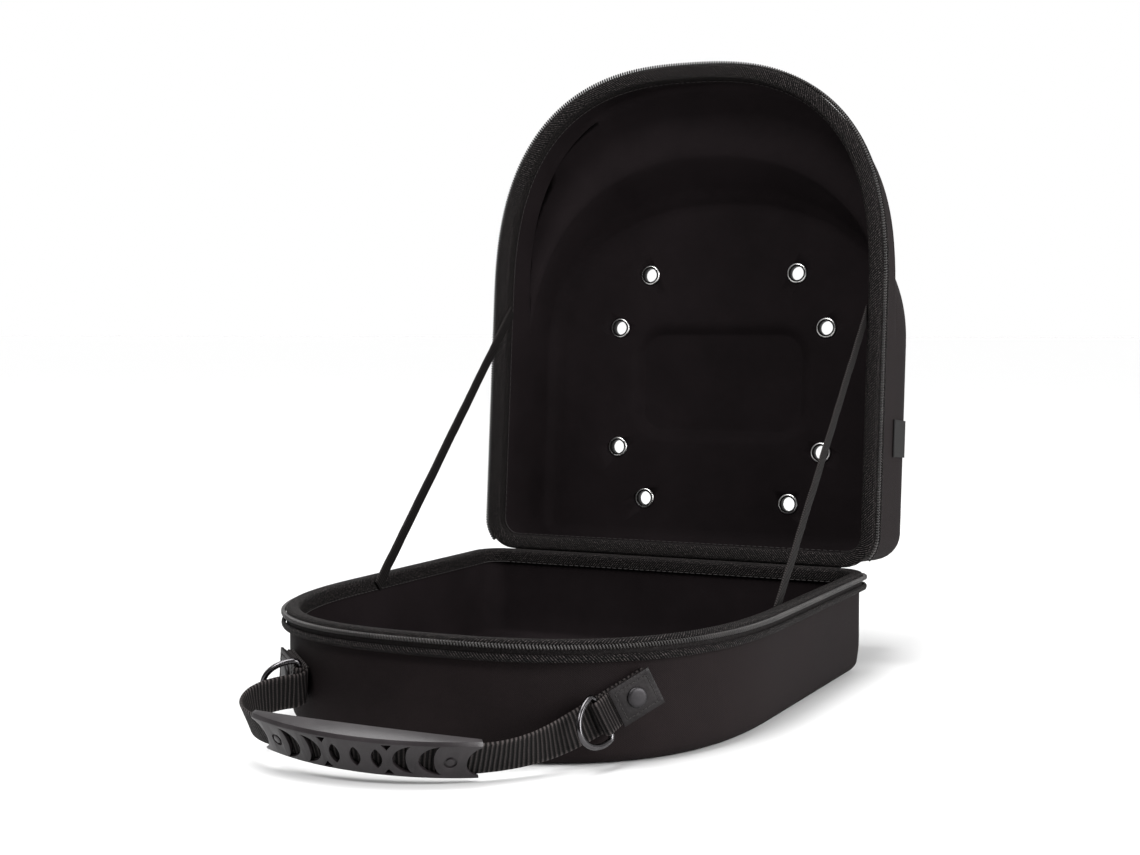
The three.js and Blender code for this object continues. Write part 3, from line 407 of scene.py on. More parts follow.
def pullRing(bm, ring, edges, places, uvFrom, uvTo, across):
    made = bmesh.ops.extrude_edge_only(bm, edges=edges)
    fresh = set(only(made, bmesh.types.BMVert))
    following = []
    for vert, place in zip(ring, places):
        twin = next(e.other_vert(vert) for e in vert.link_edges if e.other_vert(vert) in fresh)
        twin.co = place
        following.append(twin)
    layer = bm.loops.layers.uv.verify()
    index = {vert: i for i, vert in enumerate(ring)}
    index.update({vert: i for i, vert in enumerate(following)})
    last = len(ring) - 1
    for face in only(made, bmesh.types.BMFace):
        wraps = {index[v] for v in face.verts} == {0, last} and last > 1
        for loop in face.loops:
            i = index[loop.vert]
            place = across[last + 1] if wraps and i == 0 else across[i]
            loop[layer].uv = (uvTo if loop.vert in fresh else uvFrom, place)
    return following, [e for e in only(made, bmesh.types.BMEdge) if fresh.issuperset(e.verts)]


def girth(places):        # running distance round a closed row of places
    total = [0.0]
    for a, b in zip(places, places[1:] + places[:1]):
        total.append(total[-1] + (b - a).length)
    return total


def sweepRings(bm, rings, closedPath=False, closedRing=True, capped=True):
    across = girth(rings[0])
    ring, edges = startRing(bm, rings[0], closedRing)
    first = ring
    distance = 0.0
    path = rings[1:] + (rings[:1] if closedPath else [])
    before = rings[0]
    for places in path:
        step = sum((b - a).length for a, b in zip(before, places)) / len(places)
        ring, edges = pullRing(bm, ring, edges, places, distance, distance + step, across)
        distance += step
        before = places
    if closedPath:
        bmesh.ops.remove_doubles(bm, verts=bm.verts[:], dist=1e-6)
    elif capped and closedRing:
        bm.faces.new(first)
        bm.faces.new(ring)
    faceOut(bm)


def spinProfile(bm, profile, steps, closed=True):      # turns a row of (radius, height) right round Z
    ring, edges = startRing(bm, [Vector((radius, 0, height)) * mm for radius, height in profile], closed)
    bmesh.ops.spin(bm, geom=ring + edges, cent=(0, 0, 0), axis=(0, 0, 1), angle=2 * pi, steps=steps,
                   use_merge=True)


def meshFrom(bm, name):
    mesh = bpy.data.meshes.new(name)
    bm.to_mesh(mesh)
    bm.free()
    return mesh


def addPiece(name, bm, finishNames, nodes=(), smoothAngle=35):
    mesh = meshFrom(bm, name)
    for finishName in finishNames:
        mesh.materials.append(finishes[finishName])
    piece = addObject(name, mesh)
    mesh.shade_smooth()
    if smoothAngle:
        mesh.set_sharp_from_angle(angle=radians(smoothAngle))
    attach(piece, "root")
    if nodes:
        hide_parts(*nodes)
    return piece


def settle(piece):        # makes the piece's modifiers part of its mesh
    graph = bpy.context.evaluated_depsgraph_get()
    mesh = bpy.data.meshes.new_from_object(piece.evaluated_get(graph))
    piece.modifiers.clear()
    piece.data = mesh


def cutWith(piece, bm):   # takes the shapes in bm out of the piece
    cutter = addObject("cutter", meshFrom(bm, "cutter"))
    cut = piece.modifiers.new("cut", "BOOLEAN")
    cut.operation = "DIFFERENCE"
    cut.object = cutter
    cut.solver = "EXACT"
    settle(piece)
    bpy.data.objects.remove(cutter)


def axesAt(place, x, y, z):      # a matrix from a place and its three axes
    return Matrix.Translation(place) @ Matrix((x, y, z)).transposed().to_4x4()


# a point of each half by its distance across, from the hinge and from the rim
def trayPlace(x, v, depth):
    return Vector((x, caseForm["length"] / 2 - v, caseForm["rimHeight"] - depth)) * mm


def lidPlace(x, v, depth):
    turn = caseForm["lidOpening"]
    return Vector((x, caseForm["length"] / 2 - v * cos(turn) + depth * sin(turn),
                   caseForm["rimHeight"] + v * sin(turn) + depth * cos(turn))) * mm


def endPoint(turn, endLength, power, start=endStart):
    across = max(cos(turn), 0.0) ** (2 / power)
    along = sin(turn) ** (2 / power)
    slopeX = across ** (power - 1) / halfWidth
    slopeV = along ** (power - 1) / endLength
    size = hypot(slopeX, slopeV)
    return halfWidth * across, start + endLength * along, slopeX / size, slopeV / size


def planOutline(endLength=caseForm["roundEnd"], power=caseForm["roundPower"], start=endStart,
                steps=(8, 8, 14, 36)):
    hingeSteps, cornerSteps, sideSteps, endSteps = steps     # from the hinge's middle, half way round
    corner, back = caseForm["hingeCorner"], caseForm["hingeSetback"]
    half = [((halfWidth - corner) * i / hingeSteps, back, 0.0, -1.0) for i in range(hingeSteps)]
    for i in range(cornerSteps + 1):
        turn = i / cornerSteps * pi / 2
        half.append((halfWidth - corner * (1 - sin(turn)), back + corner * (1 - cos(turn)),
                     sin(turn), -cos(turn)))
    sideStart = back + corner
    half += [(halfWidth, sideStart + (start - sideStart) * i / sideSteps, 1.0, 0.0)
             for i in range(1, sideSteps)]
    half += [endPoint(i / endSteps * pi / 2, endLength, power, start) for i in range(endSteps + 1)]
    return half + [(-x, v, -nx, nv) for x, v, nx, nv in reversed(half[1:-1])]


def evenOutline(spacing, span=None):     # the same outline at even steps, all of it or the stretch in span
    fine = planOutline(steps=(20, 60, 60, 500))
    fine.append(fine[0])
    runs = [0.0]
    for a, b in zip(fine, fine[1:]):
        runs.append(runs[-1] + hypot(b[0] - a[0], b[1] - a[1]))
    low, high = span or (0.0, runs[-1])
    if high <= 0:
        high += runs[-1]
    count = max(2, round((high - low) / spacing))
    stops = [low + (high - low) * i / count for i in range(count + (1 if span else 0))]
    points = []
    k = 0
    for stop in stops:
        while k < len(runs) - 2 and runs[k + 1] < stop:
            k += 1
        t = (stop - runs[k]) / max(runs[k + 1] - runs[k], 1e-9)
        x, v, nx, nv = [a + (b - a) * t for a, b in zip(fine[k], fine[k + 1])]
        size = hypot(nx, nv)
        points.append((x, v, nx / size, nv / size))
    return points


# the zip starts half way round the hinge corner
openStart = halfWidth - caseForm["hingeCorner"] + caseForm["hingeCorner"] * pi / 4


# the moulded tray and lid: insets are from the case's outline, depths from each half's rim
trayForm = {"wall": 3.2, "inset": 3.2, "draft": 0.8, "lip": 0.6, "levels": (6, 16, 26, 36),
            "bottomRound": 8, "middle": 130}
lidForm = {"wall": 3.2, "inset": 2.2, "draft": 0.2, "lip": 0.6, "levels": (6.3, 14), "depth": 70.5,
           "shelf": 33, "shelfRound": 8, "mouth": 3, "mouthLip": 8, "crownStart": 128, "crownEnd": 115,
           "crownPower": 2.2, "crownSlope": 20, "floorRound": 12, "panelHalf": 51, "panelLow": 76,
           "panelHigh": 135, "panelBulge": 4.5, "panelSlope": 7, "panelCorner": 14, "hole": 5}
panelRise = [(1, 0.03), (0.8, 0.16), (0.6, 0.36), (0.4, 0.62), (0.2, 0.86), (0, 0.98)]   # way down, height


def insetRing(points, inset, depth):
    return [Vector((x - nx * inset, v - nv * inset, depth)) for x, v, nx, nv in points]


def shellRings(stations, steps):        # smooth rings through the stations, point by point round
    columns = [smoothLine(list(column), steps) for column in zip(*stations)]
    return [list(ring) for ring in zip(*columns)]


def shrinkRings(ring, target, shares):
    return [[a.lerp(b, share) for a, b in zip(ring, target)] for share in shares]


def makeShell(name, rings, place, node, form):
    bm = bmesh.new()
    placed = [[place(*p) for p in ring] for ring in rings]
    sweepRings(bm, placed, capped=False)
    near = [e for e in bm.edges if e.is_boundary and (e.verts[0].co - placed[-1][0]).length < 0.05]
    bmesh.ops.contextual_create(bm, geom=near)       # closes the small hole in the middle of the floor
    faceOut(bm)
    floorFace = max(bm.faces, key=lambda f: len(f.verts))
    outwards = place(0, 100, 1) - place(0, 100, 0)
    if floorFace.normal.dot(outwards) < 0:
        bmesh.ops.reverse_faces(bm, faces=bm.faces[:])
    piece = addPiece(name, bm, ["outerCloth", "lining"], [node], 0)
    wall = piece.modifiers.new("wall", "SOLIDIFY")
    wall.thickness = form["wall"] * mm
    wall.offset = -1
    wall.use_even_offset = True
    wall.material_offset = 1
    wall.material_offset_rim = 1
    settle(piece)
    return piece


def makeTrayShell(form):
    points = planOutline()
    height = caseForm["rimHeight"]
    stations = [insetRing(points, form["inset"], depth) for depth in (-form["lip"], *form["levels"])]
    for i in range(5):
        turn = i / 4 * pi / 2
        inset = form["inset"] + form["draft"] + form["bottomRound"] * (1 - cos(turn))
        stations.append(insetRing(points, inset, height - form["bottomRound"] * (1 - sin(turn))))
    rings = shellRings(stations, 2)
    middle, small = form["middle"], 0.02
    centre = [Vector((p.x * small, middle + (p.y - middle) * small, height)) for p in rings[-1]]
    rings += shrinkRings(rings[-1], centre, [i / 14 for i in range(1, 15)])
    makeShell("trayShell", rings, trayPlace, "base_shell", form)


def roundedBoxReach(dx, dv, halfX, halfV, corner):      # how far this way the rounded box goes
    low, high = 0.0, 200.0
    for _ in range(32):
        middle = (low + high) / 2
        qx, qv = abs(dx * middle) - halfX + corner, abs(dv * middle) - halfV + corner
        outside = hypot(max(qx, 0), max(qv, 0)) + min(max(qx, qv), 0) - corner
        if outside > 0:
            high = middle
        else:
            low = middle
    return low


def panelRing(ring, down, depth, form, share=1.0):     # down is 0 at the panel's top and 1 at its foot
    midV = (form["panelLow"] + form["panelHigh"]) / 2
    halfV = (form["panelHigh"] - form["panelLow"]) / 2 + form["panelSlope"] * down
    halfX = form["panelHalf"] + form["panelSlope"] * down
    corner = form["panelCorner"] + form["panelSlope"] * max(down, 0)
    places = []
    for p in ring:
        dx, dv = p.x, p.y - midV
        size = hypot(dx, dv)
        reach = roundedBoxReach(dx / size, dv / size, halfX, halfV, corner) * share
        places.append(Vector((dx / size * reach, midV + dv / size * reach, depth)))
    return places


def makeLidShell(form):
    points = {key: planOutline(caseForm["roundEnd"] - form["shelfRound"] * share)
              for key, share in [("full", 0), ("shelfEdge", 0.35), ("shelf", 1.2)]}
    points.update({key: planOutline(form["crownEnd"] - form["crownSlope"] * share, form["crownPower"],
                                    form["crownStart"])
                   for key, share in [("mouth", -0.15), ("lip", 0.2), ("foot", 0.8), ("floor", 1)]})

    def wallAt(depth):
        return form["inset"] + form["draft"] * depth / form["depth"]

    shelf, edge = form["shelf"], form["shelfRound"]
    shoulder = form["depth"] - form["floorRound"]
    rimLevel, wallLevel = form["levels"]
    stations = [
        insetRing(points["full"], form["inset"], -form["lip"]),
        insetRing(points["full"], form["inset"], rimLevel),
        insetRing(points["full"], wallAt(shelf), wallLevel),
        insetRing(points["full"], wallAt(shelf), shelf - edge),
        insetRing(points["shelfEdge"], wallAt(shelf), shelf - edge * 0.35),
        insetRing(points["shelf"], wallAt(shelf), shelf),
        insetRing(points["mouth"], wallAt(shelf), shelf + form["mouth"]),
        insetRing(points["lip"], wallAt(shelf), shelf + form["mouthLip"]),
        insetRing(points["foot"], wallAt(shoulder), shoulder),
    ]
    for i in range(1, 4):
        turn = i / 3 * pi / 2
        inset = wallAt(form["depth"]) + form["floorRound"] * (1 - cos(turn))
        depth = form["depth"] - form["floorRound"] * (1 - sin(turn))
        stations.append(insetRing(points["floor"], inset, depth))
    rings = shellRings(stations, 3)
    floor, bulge = form["depth"], form["panelBulge"]
    border = panelRing(rings[-1], 1.15, floor, form)
    rings += shrinkRings(rings[-1], border, [0.25, 0.5, 0.75, 0.93])
    rings.append(border)
    rings += [panelRing(border, down, floor + bulge * rise, form) for down, rise in panelRise]
    rings += [panelRing(border, -0.15, floor + bulge, form, share)
              for share in (1, 0.9, 0.7, 0.5, 0.3, 0.1, 0.03)]
    shell = makeShell("lidShell", rings, lidPlace, "lid_shell", form)
    cutter = bmesh.new()
    for x, v in eyeletPlaces():
        made = bmesh.ops.create_cone(cutter, cap_ends=True, segments=32, radius1=form["hole"] * mm,
                                     radius2=form["hole"] * mm, depth=20 * mm)
        bmesh.ops.transform(cutter, verts=made["verts"], matrix=lidMatrix(x, v, form["depth"] - 2))
    cutWith(shell, cutter)


def lidMatrix(x, v, depth):      # Z along the lid's depth, X across, at a point of the lid
    place = lidPlace(x, v, depth)
    out = (lidPlace(x, v, depth + 1) - place).normalized()
    side = Vector((1, 0, 0))
    return axesAt(place, side, out.cross(side), out)


eyeletForm = {"rows": [(47, 171), (66, 138.5), (65, 65), (46, 34)], "bore": 4.1, "barrel": 4.8, "flange": 6,
              "inner": 67.3, "outer": 70.5, "clear": 0.3, "shade": 0.9}


def eyeletPlaces():
    return [(side * half, v) for half, v in eyeletForm["rows"] for side in (-1, 1)]


makeTrayShell(trayForm)
makeLidShell(lidForm)
print("shells ready")


# edging, zip and piping: insets from the outline, heights above each half's rim
bindingForm = {"outer": -1.6, "leg": 3.8, "reach": 8.2, "under": 0.95, "top": 2.85, "down": 4.6,
               "spacing": 4.0}       # outer and leg count from the shell's own inset
tapeForm = {"section": [(2.95, 0.6), (2.3, 0.75), (1.75, 0.6), (1.7, -3.0), (1.75, -6.3), (2.4, -6.4),
                        (2.95, -6.3), (3.0, -3.0)]}
pipingForm = {"inset": 0.35, "height": -4.8, "halfWide": 1.05, "halfHigh": 1.6}
toothForm = {"inset": 0.3, "height": 0.2, "long": 0.95, "wide": 2.1, "high": 2.3, "pitch": 1.45,
             "bevel": 0.4, "slant": 0.45, "offEnd": 1.5}
stitchForm = {"inset": 8.85, "height": -4.4, "pitch": 3.4, "long": 2.3, "thick": 0.5}


def rimRings(section, place, points):
    return [[place(x - nx * inset, v - nv * inset, -height) for inset, height in section]
            for x, v, nx, nv in points]


def makeBinding(name, place, node, inset):
    form = bindingForm
    outer, leg, reach = inset + form["outer"], inset + form["leg"], form["reach"]
    under, top, down = form["under"], form["top"], form["down"]
    section = [(outer, under), (outer - 0.05, 1.6), (outer + 0.6, top - 0.35), (outer + 2, top),
               ((outer + reach) / 2, top), (reach - 1.6, top - 0.3), (reach - 0.4, top - 1.1), (reach, 0.3),
               (reach, -down / 2), (reach - 0.05, -down), (leg + 0.1, -down), (leg, -down / 2), (leg, 0.6),
               (leg - 1.6, under)]
    section = [(p.x, p.y) for p in smoothLine([Vector(p) for p in section], 2, closed=True)]
    bm = bmesh.new()
    sweepRings(bm, rimRings(section, place, evenOutline(form["spacing"])), closedPath=True)
    addPiece(name, bm, ["twill"], [node], 0)


def makeOpenRim(name, section, place, node, finishName):
    bm = bmesh.new()
    points = evenOutline(bindingForm["spacing"], (openStart, -openStart))
    sweepRings(bm, rimRings(section, place, points))
    addPiece(name, bm, [finishName], [node])


def pipingSection(form, out):
    return [(form["inset"] - out + form["halfWide"] * cos(i / 12 * 2 * pi),
             form["height"] + form["halfHigh"] * sin(i / 12 * 2 * pi)) for i in range(12)]


def stamp(bm, pattern, matrix):          # adds a copy of the pattern mesh
    before = len(bm.verts)
    bm.from_mesh(pattern)
    bm.verts.ensure_lookup_table()
    bmesh.ops.transform(bm, verts=bm.verts[before:], matrix=matrix)


def roundedBlock(long, wide, high, bevel):
    bm = bmesh.new()
    bmesh.ops.create_cube(bm, size=1)
    bmesh.ops.scale(bm, vec=Vector((long, wide, high)) * mm, verts=bm.verts[:])
    bmesh.ops.bevel(bm, geom=bm.edges[:], offset=bevel * mm, offset_type="OFFSET", segments=1, profile=0.5,
                    affect="EDGES", material=-1)
    return meshFrom(bm, "pattern")


def rimMatrix(point, inset, height, place):    # X along the rim, Y outwards, Z towards the other half
    x, v, nx, nv = point
    here = place(x - nx * inset, v - nv * inset, -height)
    out = (place(x + nx, v + nv, -height) - place(x, v, -height)).normalized()
    up = (place(x, v, -height - 1) - place(x, v, -height)).normalized()
    return axesAt(here, out.cross(up), out, up)


def makeTeeth(name, place, node, shift, out):
    form = toothForm
    tooth = roundedBlock(form["long"], form["wide"], form["high"], form["bevel"])
    bm = bmesh.new()
    start = openStart + form["offEnd"]
    for point in evenOutline(form["pitch"], (start + shift, shift - start)):
        stamp(bm, tooth, rimMatrix(point, form["inset"] - out, form["height"], place)
              @ Matrix.Rotation(form["slant"], 4, "Y"))
    addPiece(name, bm, ["coil"], [node], 60)


def makeRimStitches(name, place):
    form = stitchForm
    stitch = roundedBlock(form["long"], form["thick"], form["thick"], form["thick"] * 0.4)
    bm = bmesh.new()
    for point in evenOutline(form["pitch"]):
        stamp(bm, stitch, rimMatrix(point, form["inset"], form["height"], place))
    addPiece(name, bm, ["thread"], (), 60)


for half, node, place, form, shift in [("tray", "base", trayPlace, trayForm, 0.0),
                                       ("lid", "lid", lidPlace, lidForm, 0.7)]:
    out = trayForm["inset"] - form["inset"]
    makeBinding(f"{half}Binding", place, f"{node}_binding", form["inset"])
    tapeSection = [(inset - out, height) for inset, height in tapeForm["section"]]
    makeOpenRim(f"{half}ZipTape", tapeSection, place, f"{node}_zip_tape", "tape")
    makeOpenRim(f"{half}Piping", pipingSection(pipingForm, out), place, f"{node}_piping", "twill")
    makeTeeth(f"{half}ZipTeeth", place, f"{node}_zip_teeth", shift, out)
    makeRimStitches(f"{half}Stitches", place)
print("edging and zip ready")


# hinge cloth and stay straps
hingeForm = {"halfWide": 99, "cloth": 1.2, "hold": 11, "offTray": 4.0, "offLid": 3.0,
             "bendFrom": 2, "trayPull": -0.3, "lidPull": 0.9, "straight": 6.5, "steps": 40}
stayForm = {"width": 7.5, "thick": 1.1, "onTray": 139.5, "onLid": 143, "reach": 2.6, "outerFace": 109.45,
            "steps": 40, "sway": 0.12}
sideWords = {-1: "Left", 1: "Right"}


def makeHinge(form):
    opening = caseForm["lidOpening"]
    axis = Vector((caseForm["length"] / 2, caseForm["rimHeight"]))

    def onTray(depth):
        return axis + Vector((-form["offTray"], -depth))

    def onLid(depth):
        off = form["offLid"]
        return axis + Vector((-off * cos(opening) + depth * sin(opening),
                              off * sin(opening) + depth * cos(opening)))

    start, straight, hold = form["bendFrom"], form["straight"], form["hold"]
    bend = cubicPath([onTray(start), onTray(form["trayPull"]), onLid(form["lidPull"]), onLid(start)], 12)
    path = [onTray(hold), onTray(straight)] + bend + [onLid(straight), onLid(hold)]
    bm = bmesh.new()
    columns = [form["halfWide"] * (2 * k / form["steps"] - 1) for k in range(form["steps"] + 1)]
    sweepRings(bm, [[Vector((x, p.x, p.y)) * mm for p in path] for x in columns], closedRing=False)
    piece = addPiece("hingeCloth", bm, ["twill"], ["hinge_strip"], 0)
    cloth = piece.modifiers.new("cloth", "SOLIDIFY")
    cloth.thickness = form["cloth"] * mm
    cloth.offset = 0
    settle(piece)


def addSidePiece(side, name, bm, finishName, node, smoothAngle=50):      # one of a pair
    word = sideWords[side]
    addPiece(f"{name}{word}", bm, [finishName], [f"{node}_{word.lower()}"], smoothAngle)


def makeStrap(stations, widths, width, thick):    # a rounded flat section swept along the stations
    rings = []
    halfW, halfT = width / 2, thick / 2
    row = [halfW - halfT, halfW * 0.5, 0, -halfW * 0.5, halfT - halfW]
    outline = ([(across, halfT) for across in row] + [(-halfW, 0)]
               + [(across, -halfT) for across in reversed(row)] + [(halfW, 0)])
    for i, (centre, wide) in enumerate(zip(stations, widths)):
        along = (stations[min(i + 1, len(stations) - 1)] - stations[max(i - 1, 0)]).normalized()
        wide = (wide - along * wide.dot(along)).normalized()
        face = along.cross(wide)
        rings.append([(centre + wide * a + face * b) * mm for a, b in outline])
    bm = bmesh.new()
    sweepRings(bm, rings)
    return bm


def makeStay(side, form):
    low = trayPlace(0, form["onTray"], form["reach"]) / mm
    high = lidPlace(0, form["onLid"], form["reach"]) / mm
    x = side * (form["outerFace"] - form["thick"] / 2)
    along = (high - low).normalized()
    across = Vector((0, 0, 1)).cross(along).cross(along)
    count = form["steps"]
    rng = random.Random(3 + side)
    sway = [rng.uniform(-form["sway"], form["sway"]) for _ in range(count + 1)]
    stations = [low.lerp(high, i / count) + Vector((x + sway[i], 0, 0)) for i in range(count + 1)]
    bm = makeStrap(stations, [across] * len(stations), form["width"], form["thick"])
    addSidePiece(side, "stay", bm, "stayWebbing", "tether")


makeHinge(hingeForm)
for side in (-1, 1):
    makeStay(side, stayForm)
print("hinge and stays ready")


# vent eyelets
def makeEyelet(number, x, v, form):
    bore, barrel, flange = form["bore"], form["barrel"], form["flange"]
    inner, outer = form["inner"] - form["clear"], form["outer"] + form["clear"]
    profile = [(bore + 0.15, outer + 0.6), (bore, outer), (bore, inner - 0.3), (bore + 0.25, inner - 0.7),
               (bore + 1.1, inner - 0.8), (flange - 0.25, inner - 0.7), (flange, inner - 0.3),
               (flange - 0.1, inner), (barrel, inner), (barrel, outer), (flange - 0.1, outer),
               (flange, outer + 0.3), (flange - 0.25, outer + 0.7), (bore + 1.1, outer + 0.8)]
    bm = bmesh.new()
    spinProfile(bm, profile, 40)
    for face in bm.faces:            # painted shade: the bore and its rolled lip take the dark boreShade metal
        if face.calc_center_median().xy.length < (bore + form["shade"]) * mm:
            face.material_index = 1
    bmesh.ops.transform(bm, verts=bm.verts[:], matrix=lidMatrix(x, v, 0))
    faceOut(bm)
    addPiece(f"eyelet{number}", bm, ["nickel", "boreShade"], [f"eyelet_{number}"], 50)


for number, (x, v) in enumerate(eyeletPlaces(), start=1):
    makeEyelet(number, x, v, eyeletForm)
print("eyelets ready")


# handle; the tabs' own values stand under 1 for the right end and -1 for the left
handleForm = {"webWidth": 16, "webThick": 1.3, "patchLong": 20, "patchWide": 17, "patchThick": 1.4,
              "wire": 1.3, "ringBar": 20.4, "ringReach": 15.6, "ringCorner": 1.4, "clear": 0.3,
              "webLayer": 1.2, "webOff": 0.5, "loopNarrower": 0.4, "foldShort": 3.5, "foldPast": 3.2,
              "foldOff": 7.5, "foldWide": -1.5, "foldPull": 4, "leftPulls": (0.42, 0.5),
              "rightPulls": (0.4, 0.35),
              1: {"angle": 47.6, "height": 30, "slope": 27, "ringAt": 16.5, "swing": 30},
              -1: {"angle": 53.5, "height": 27.4, "slope": 10.4, "ringAt": 13.2, "swing": 100}}
patchForm = {"threadIn": 2.2, "threadHalf": 0.6, "threadDeep": 0.22, "edgeDeep": 0.3, "stitches": (8, 6),
             "stitch": (1.5, 0.4, 0.35, 0.14), "stitchSunk": 0.1, "cells": (20, 17)}
rivetProfile = [(0, 0.95), (2.6, 0.95), (3.3, 0.9), (3.9, 0.7), (4.3, 0.35), (4.4, 0.0), (0, 0.0)]
gripForm = {"half": 49.5, "height": 18.9, "front": (2.9, 2.3), "back": (6.8, 2), "bend": 86,
            "lean": radians(28), "turn": radians(11), "tilt": radians(-3.8), "shift": -1.9, "reach": 46,
            "floorGap": 0.6, "bevel": 1.3, "edge": 0.45, "steps": 48, "slotClear": 0.4, "notchDepth": 5.7,
            "notchHalf": 7.4, "lensHalf": (2.3, 5), "lensPitch": 8.7, "spurAt": 13.1, "spur": (4.2, 2.8, 6.1),
            "crescents": [(14.9, 8.4, 6.9, 5.4), (25, 9.6, 7.3, 6.2)],     # place, depth, half height, width
            "markAt": 37.4, "markRadius": 2.8, "markGroove": 1.1, "markDeep": 0.8}


class TabFrame:           # where a handle patch sits: along the webbing, across it and out from the wall

    def __init__(self, side, form=handleForm):
        tab = form[side]
        x, v, nx, nv = endPoint(radians(tab["angle"]), caseForm["roundEnd"], caseForm["roundPower"])
        height, slope = tab["height"], radians(tab["slope"])
        inset = trayForm["inset"] + trayForm["draft"] * (1 - height / caseForm["rimHeight"])
        self.centre = Vector((side * (x - nx * inset), caseForm["length"] / 2 - (v - nv * inset), height))
        self.out = Vector((side * nx, -nv, 0))
        forward = Vector((-side * nv, -nx, 0))
        up = Vector((0, 0, 1))
        self.down = forward * cos(slope) - up * sin(slope)
        self.across = forward * sin(slope) + up * cos(slope)

    def at(self, along, off, wide=0.0):
        return self.centre + self.down * along + self.out * off + self.across * wide

    def matrix(self, off):      # X along, Y across, Z outwards
        return axesAt(self.at(0, off) * mm, self.down, self.out.cross(self.down), self.out)


# how far each layer of a tab stands off the wall
webLayer, clear, webbingOff = handleForm["webLayer"], handleForm["clear"], handleForm["webOff"]
loopOff = webbingOff + webLayer + clear
barOff = loopOff + webLayer + clear + handleForm["wire"]
patchOff = loopOff + 2 * (webLayer + clear)
rivetOff = patchOff + handleForm["patchThick"] + clear


def gripFrame(along, form=gripForm):      # the grip's middle, its way up, out and along at this distance
    lean, tilt, bend, start = form["lean"], form["tilt"], form["bend"], form["turn"]
    turn = along / bend + start
    middle = (form["floorGap"] + form["height"] / 2 * cos(lean) + form["front"][0] * sin(lean)
              + form["half"] * abs(sin(tilt)))
    centre = Vector((form["shift"] + bend * (sin(turn) - sin(start)),
                     -caseForm["length"] / 2 - form["reach"] + bend * (cos(start) - cos(turn)),
                     middle + along * sin(tilt)))
    level = Vector((sin(turn), -cos(turn), 0))
    up = Vector((0, 0, 1))
    across = level * sin(lean) + up * cos(lean)
    out = level * cos(lean) - up * sin(lean)
    return centre, across, out, Vector((cos(turn), sin(turn), 0))


def curveBetween(start, heading, end, arrival, startPull, endPull, steps):      # without its first place
    return cubicPath([start, start + heading * startPull, end - arrival * endPull, end], steps)[1:]


def webbingLine():        # the strap's middle and width direction: left patch, grip, right patch
    left, right = TabFrame(-1), TabFrame(1)
    form = handleForm
    startCentre, startAcross, _, startTangent = gripFrame(-gripForm["half"])
    endCentre, endAcross, _, endTangent = gripFrame(gripForm["half"])
    off = webbingOff + webLayer / 2
    tail = 1 - form["patchLong"] / 2
    past = form[-1]["ringAt"] + form["wire"] + webLayer + clear
    flatEnd = past - form["foldShort"]
    stations = [left.at(along, off) for along in (tail, tail / 2, 0, flatEnd / 2, flatEnd)]
    fold = left.at(past + form["foldPast"], off + form["foldOff"], form["foldWide"])
    stations += curveBetween(stations[-1], left.down, fold, left.out, form["foldPull"], form["foldPull"], 10)
    first, last = [pull * (startCentre - fold).length for pull in form["leftPulls"]]
    stations += curveBetween(fold, left.out, startCentre, startTangent, first, last, 24)[:-1]
    leftCount = len(stations)
    gripStops = [-gripForm["half"] + gripForm["half"] * 2 * i / 32 for i in range(33)]
    stations += [gripFrame(stop)[0] for stop in gripStops]
    leave = right.at(form["patchLong"] / 2 + 2, off)
    first, last = [pull * (leave - endCentre).length for pull in form["rightPulls"]]
    rightSteps = 22
    stations += curveBetween(endCentre, endTangent, leave, -right.down, first, last, rightSteps)
    stations += [right.at(along, off) for along in (0, tail / 2, tail)]
    rightStart = leftCount + len(gripStops)
    widths = []
    for i in range(len(stations)):
        if i < leftCount:
            widths.append(left.across.lerp(startAcross, smoothShare((i - 8) / (leftCount - 8))))
        elif i < rightStart:
            widths.append(gripFrame(gripStops[i - leftCount])[1])
        else:
            widths.append(endAcross.lerp(right.across, smoothShare((i - rightStart + 1) / rightSteps)))
    return stations, widths


def makeWebbingStrap():
    bm = makeStrap(*webbingLine(), handleForm["webWidth"], handleForm["webThick"])
    addPiece("handleWebbing", bm, ["webbing"], ["handle_webbing"], 50)


def gripFace(face, along):       # a face's distance from the webbing's middle, fullest half way along
    middle, end = face
    return middle - (middle - end) * (along / gripForm["half"]) ** 2


def gripSweep(sectionAt, overrun):      # a section swept along the grip, past its ends by the overrun
    half, count = gripForm["half"], gripForm["steps"]
    stops = [-half + 2 * half * i / count for i in range(count + 1)]
    stops[0] -= overrun
    stops[-1] += overrun
    bm = bmesh.new()
    rings = []
    for stop in stops:
        centre, across, out, _ = gripFrame(stop)
        rings.append([(centre + across * wide + out * off) * mm for wide, off in sectionAt(stop)])
    sweepRings(bm, rings)
    return bm


def gripMatrix(along):      # X along the grip, Y up its face, Z out of it
    centre, across, out, _ = gripFrame(along)
    return axesAt(centre * mm, across.cross(out), across, out)


def prism(bm, outline, matrix, high):     # the outline as a block
    face = bm.faces.new([bm.verts.new(Vector((x, y, 0)) * mm) for x, y in outline])
    verts = only(bmesh.ops.extrude_face_region(bm, geom=[face]), bmesh.types.BMVert)
    bmesh.ops.translate(bm, verts=verts, vec=(0, 0, high * mm))
    bmesh.ops.transform(bm, verts=verts + list(face.verts), matrix=matrix)


def arcPoints(x, y, radius, start, end, steps):
    turns = [start + (end - start) * i / steps for i in range(steps + 1)]
    return [(x + radius * cos(turn), y + radius * sin(turn)) for turn in turns]


def lensOutline(halfWide, halfHigh):
    radius = (halfWide ** 2 + halfHigh ** 2) / (2 * halfWide)
    reach = asin(halfHigh / radius)
    right = arcPoints(halfWide - radius, 0, radius, -reach, reach, 12)
    return right[:-1] + arcPoints(radius - halfWide, 0, radius, pi - reach, pi + reach, 12)[:-1]


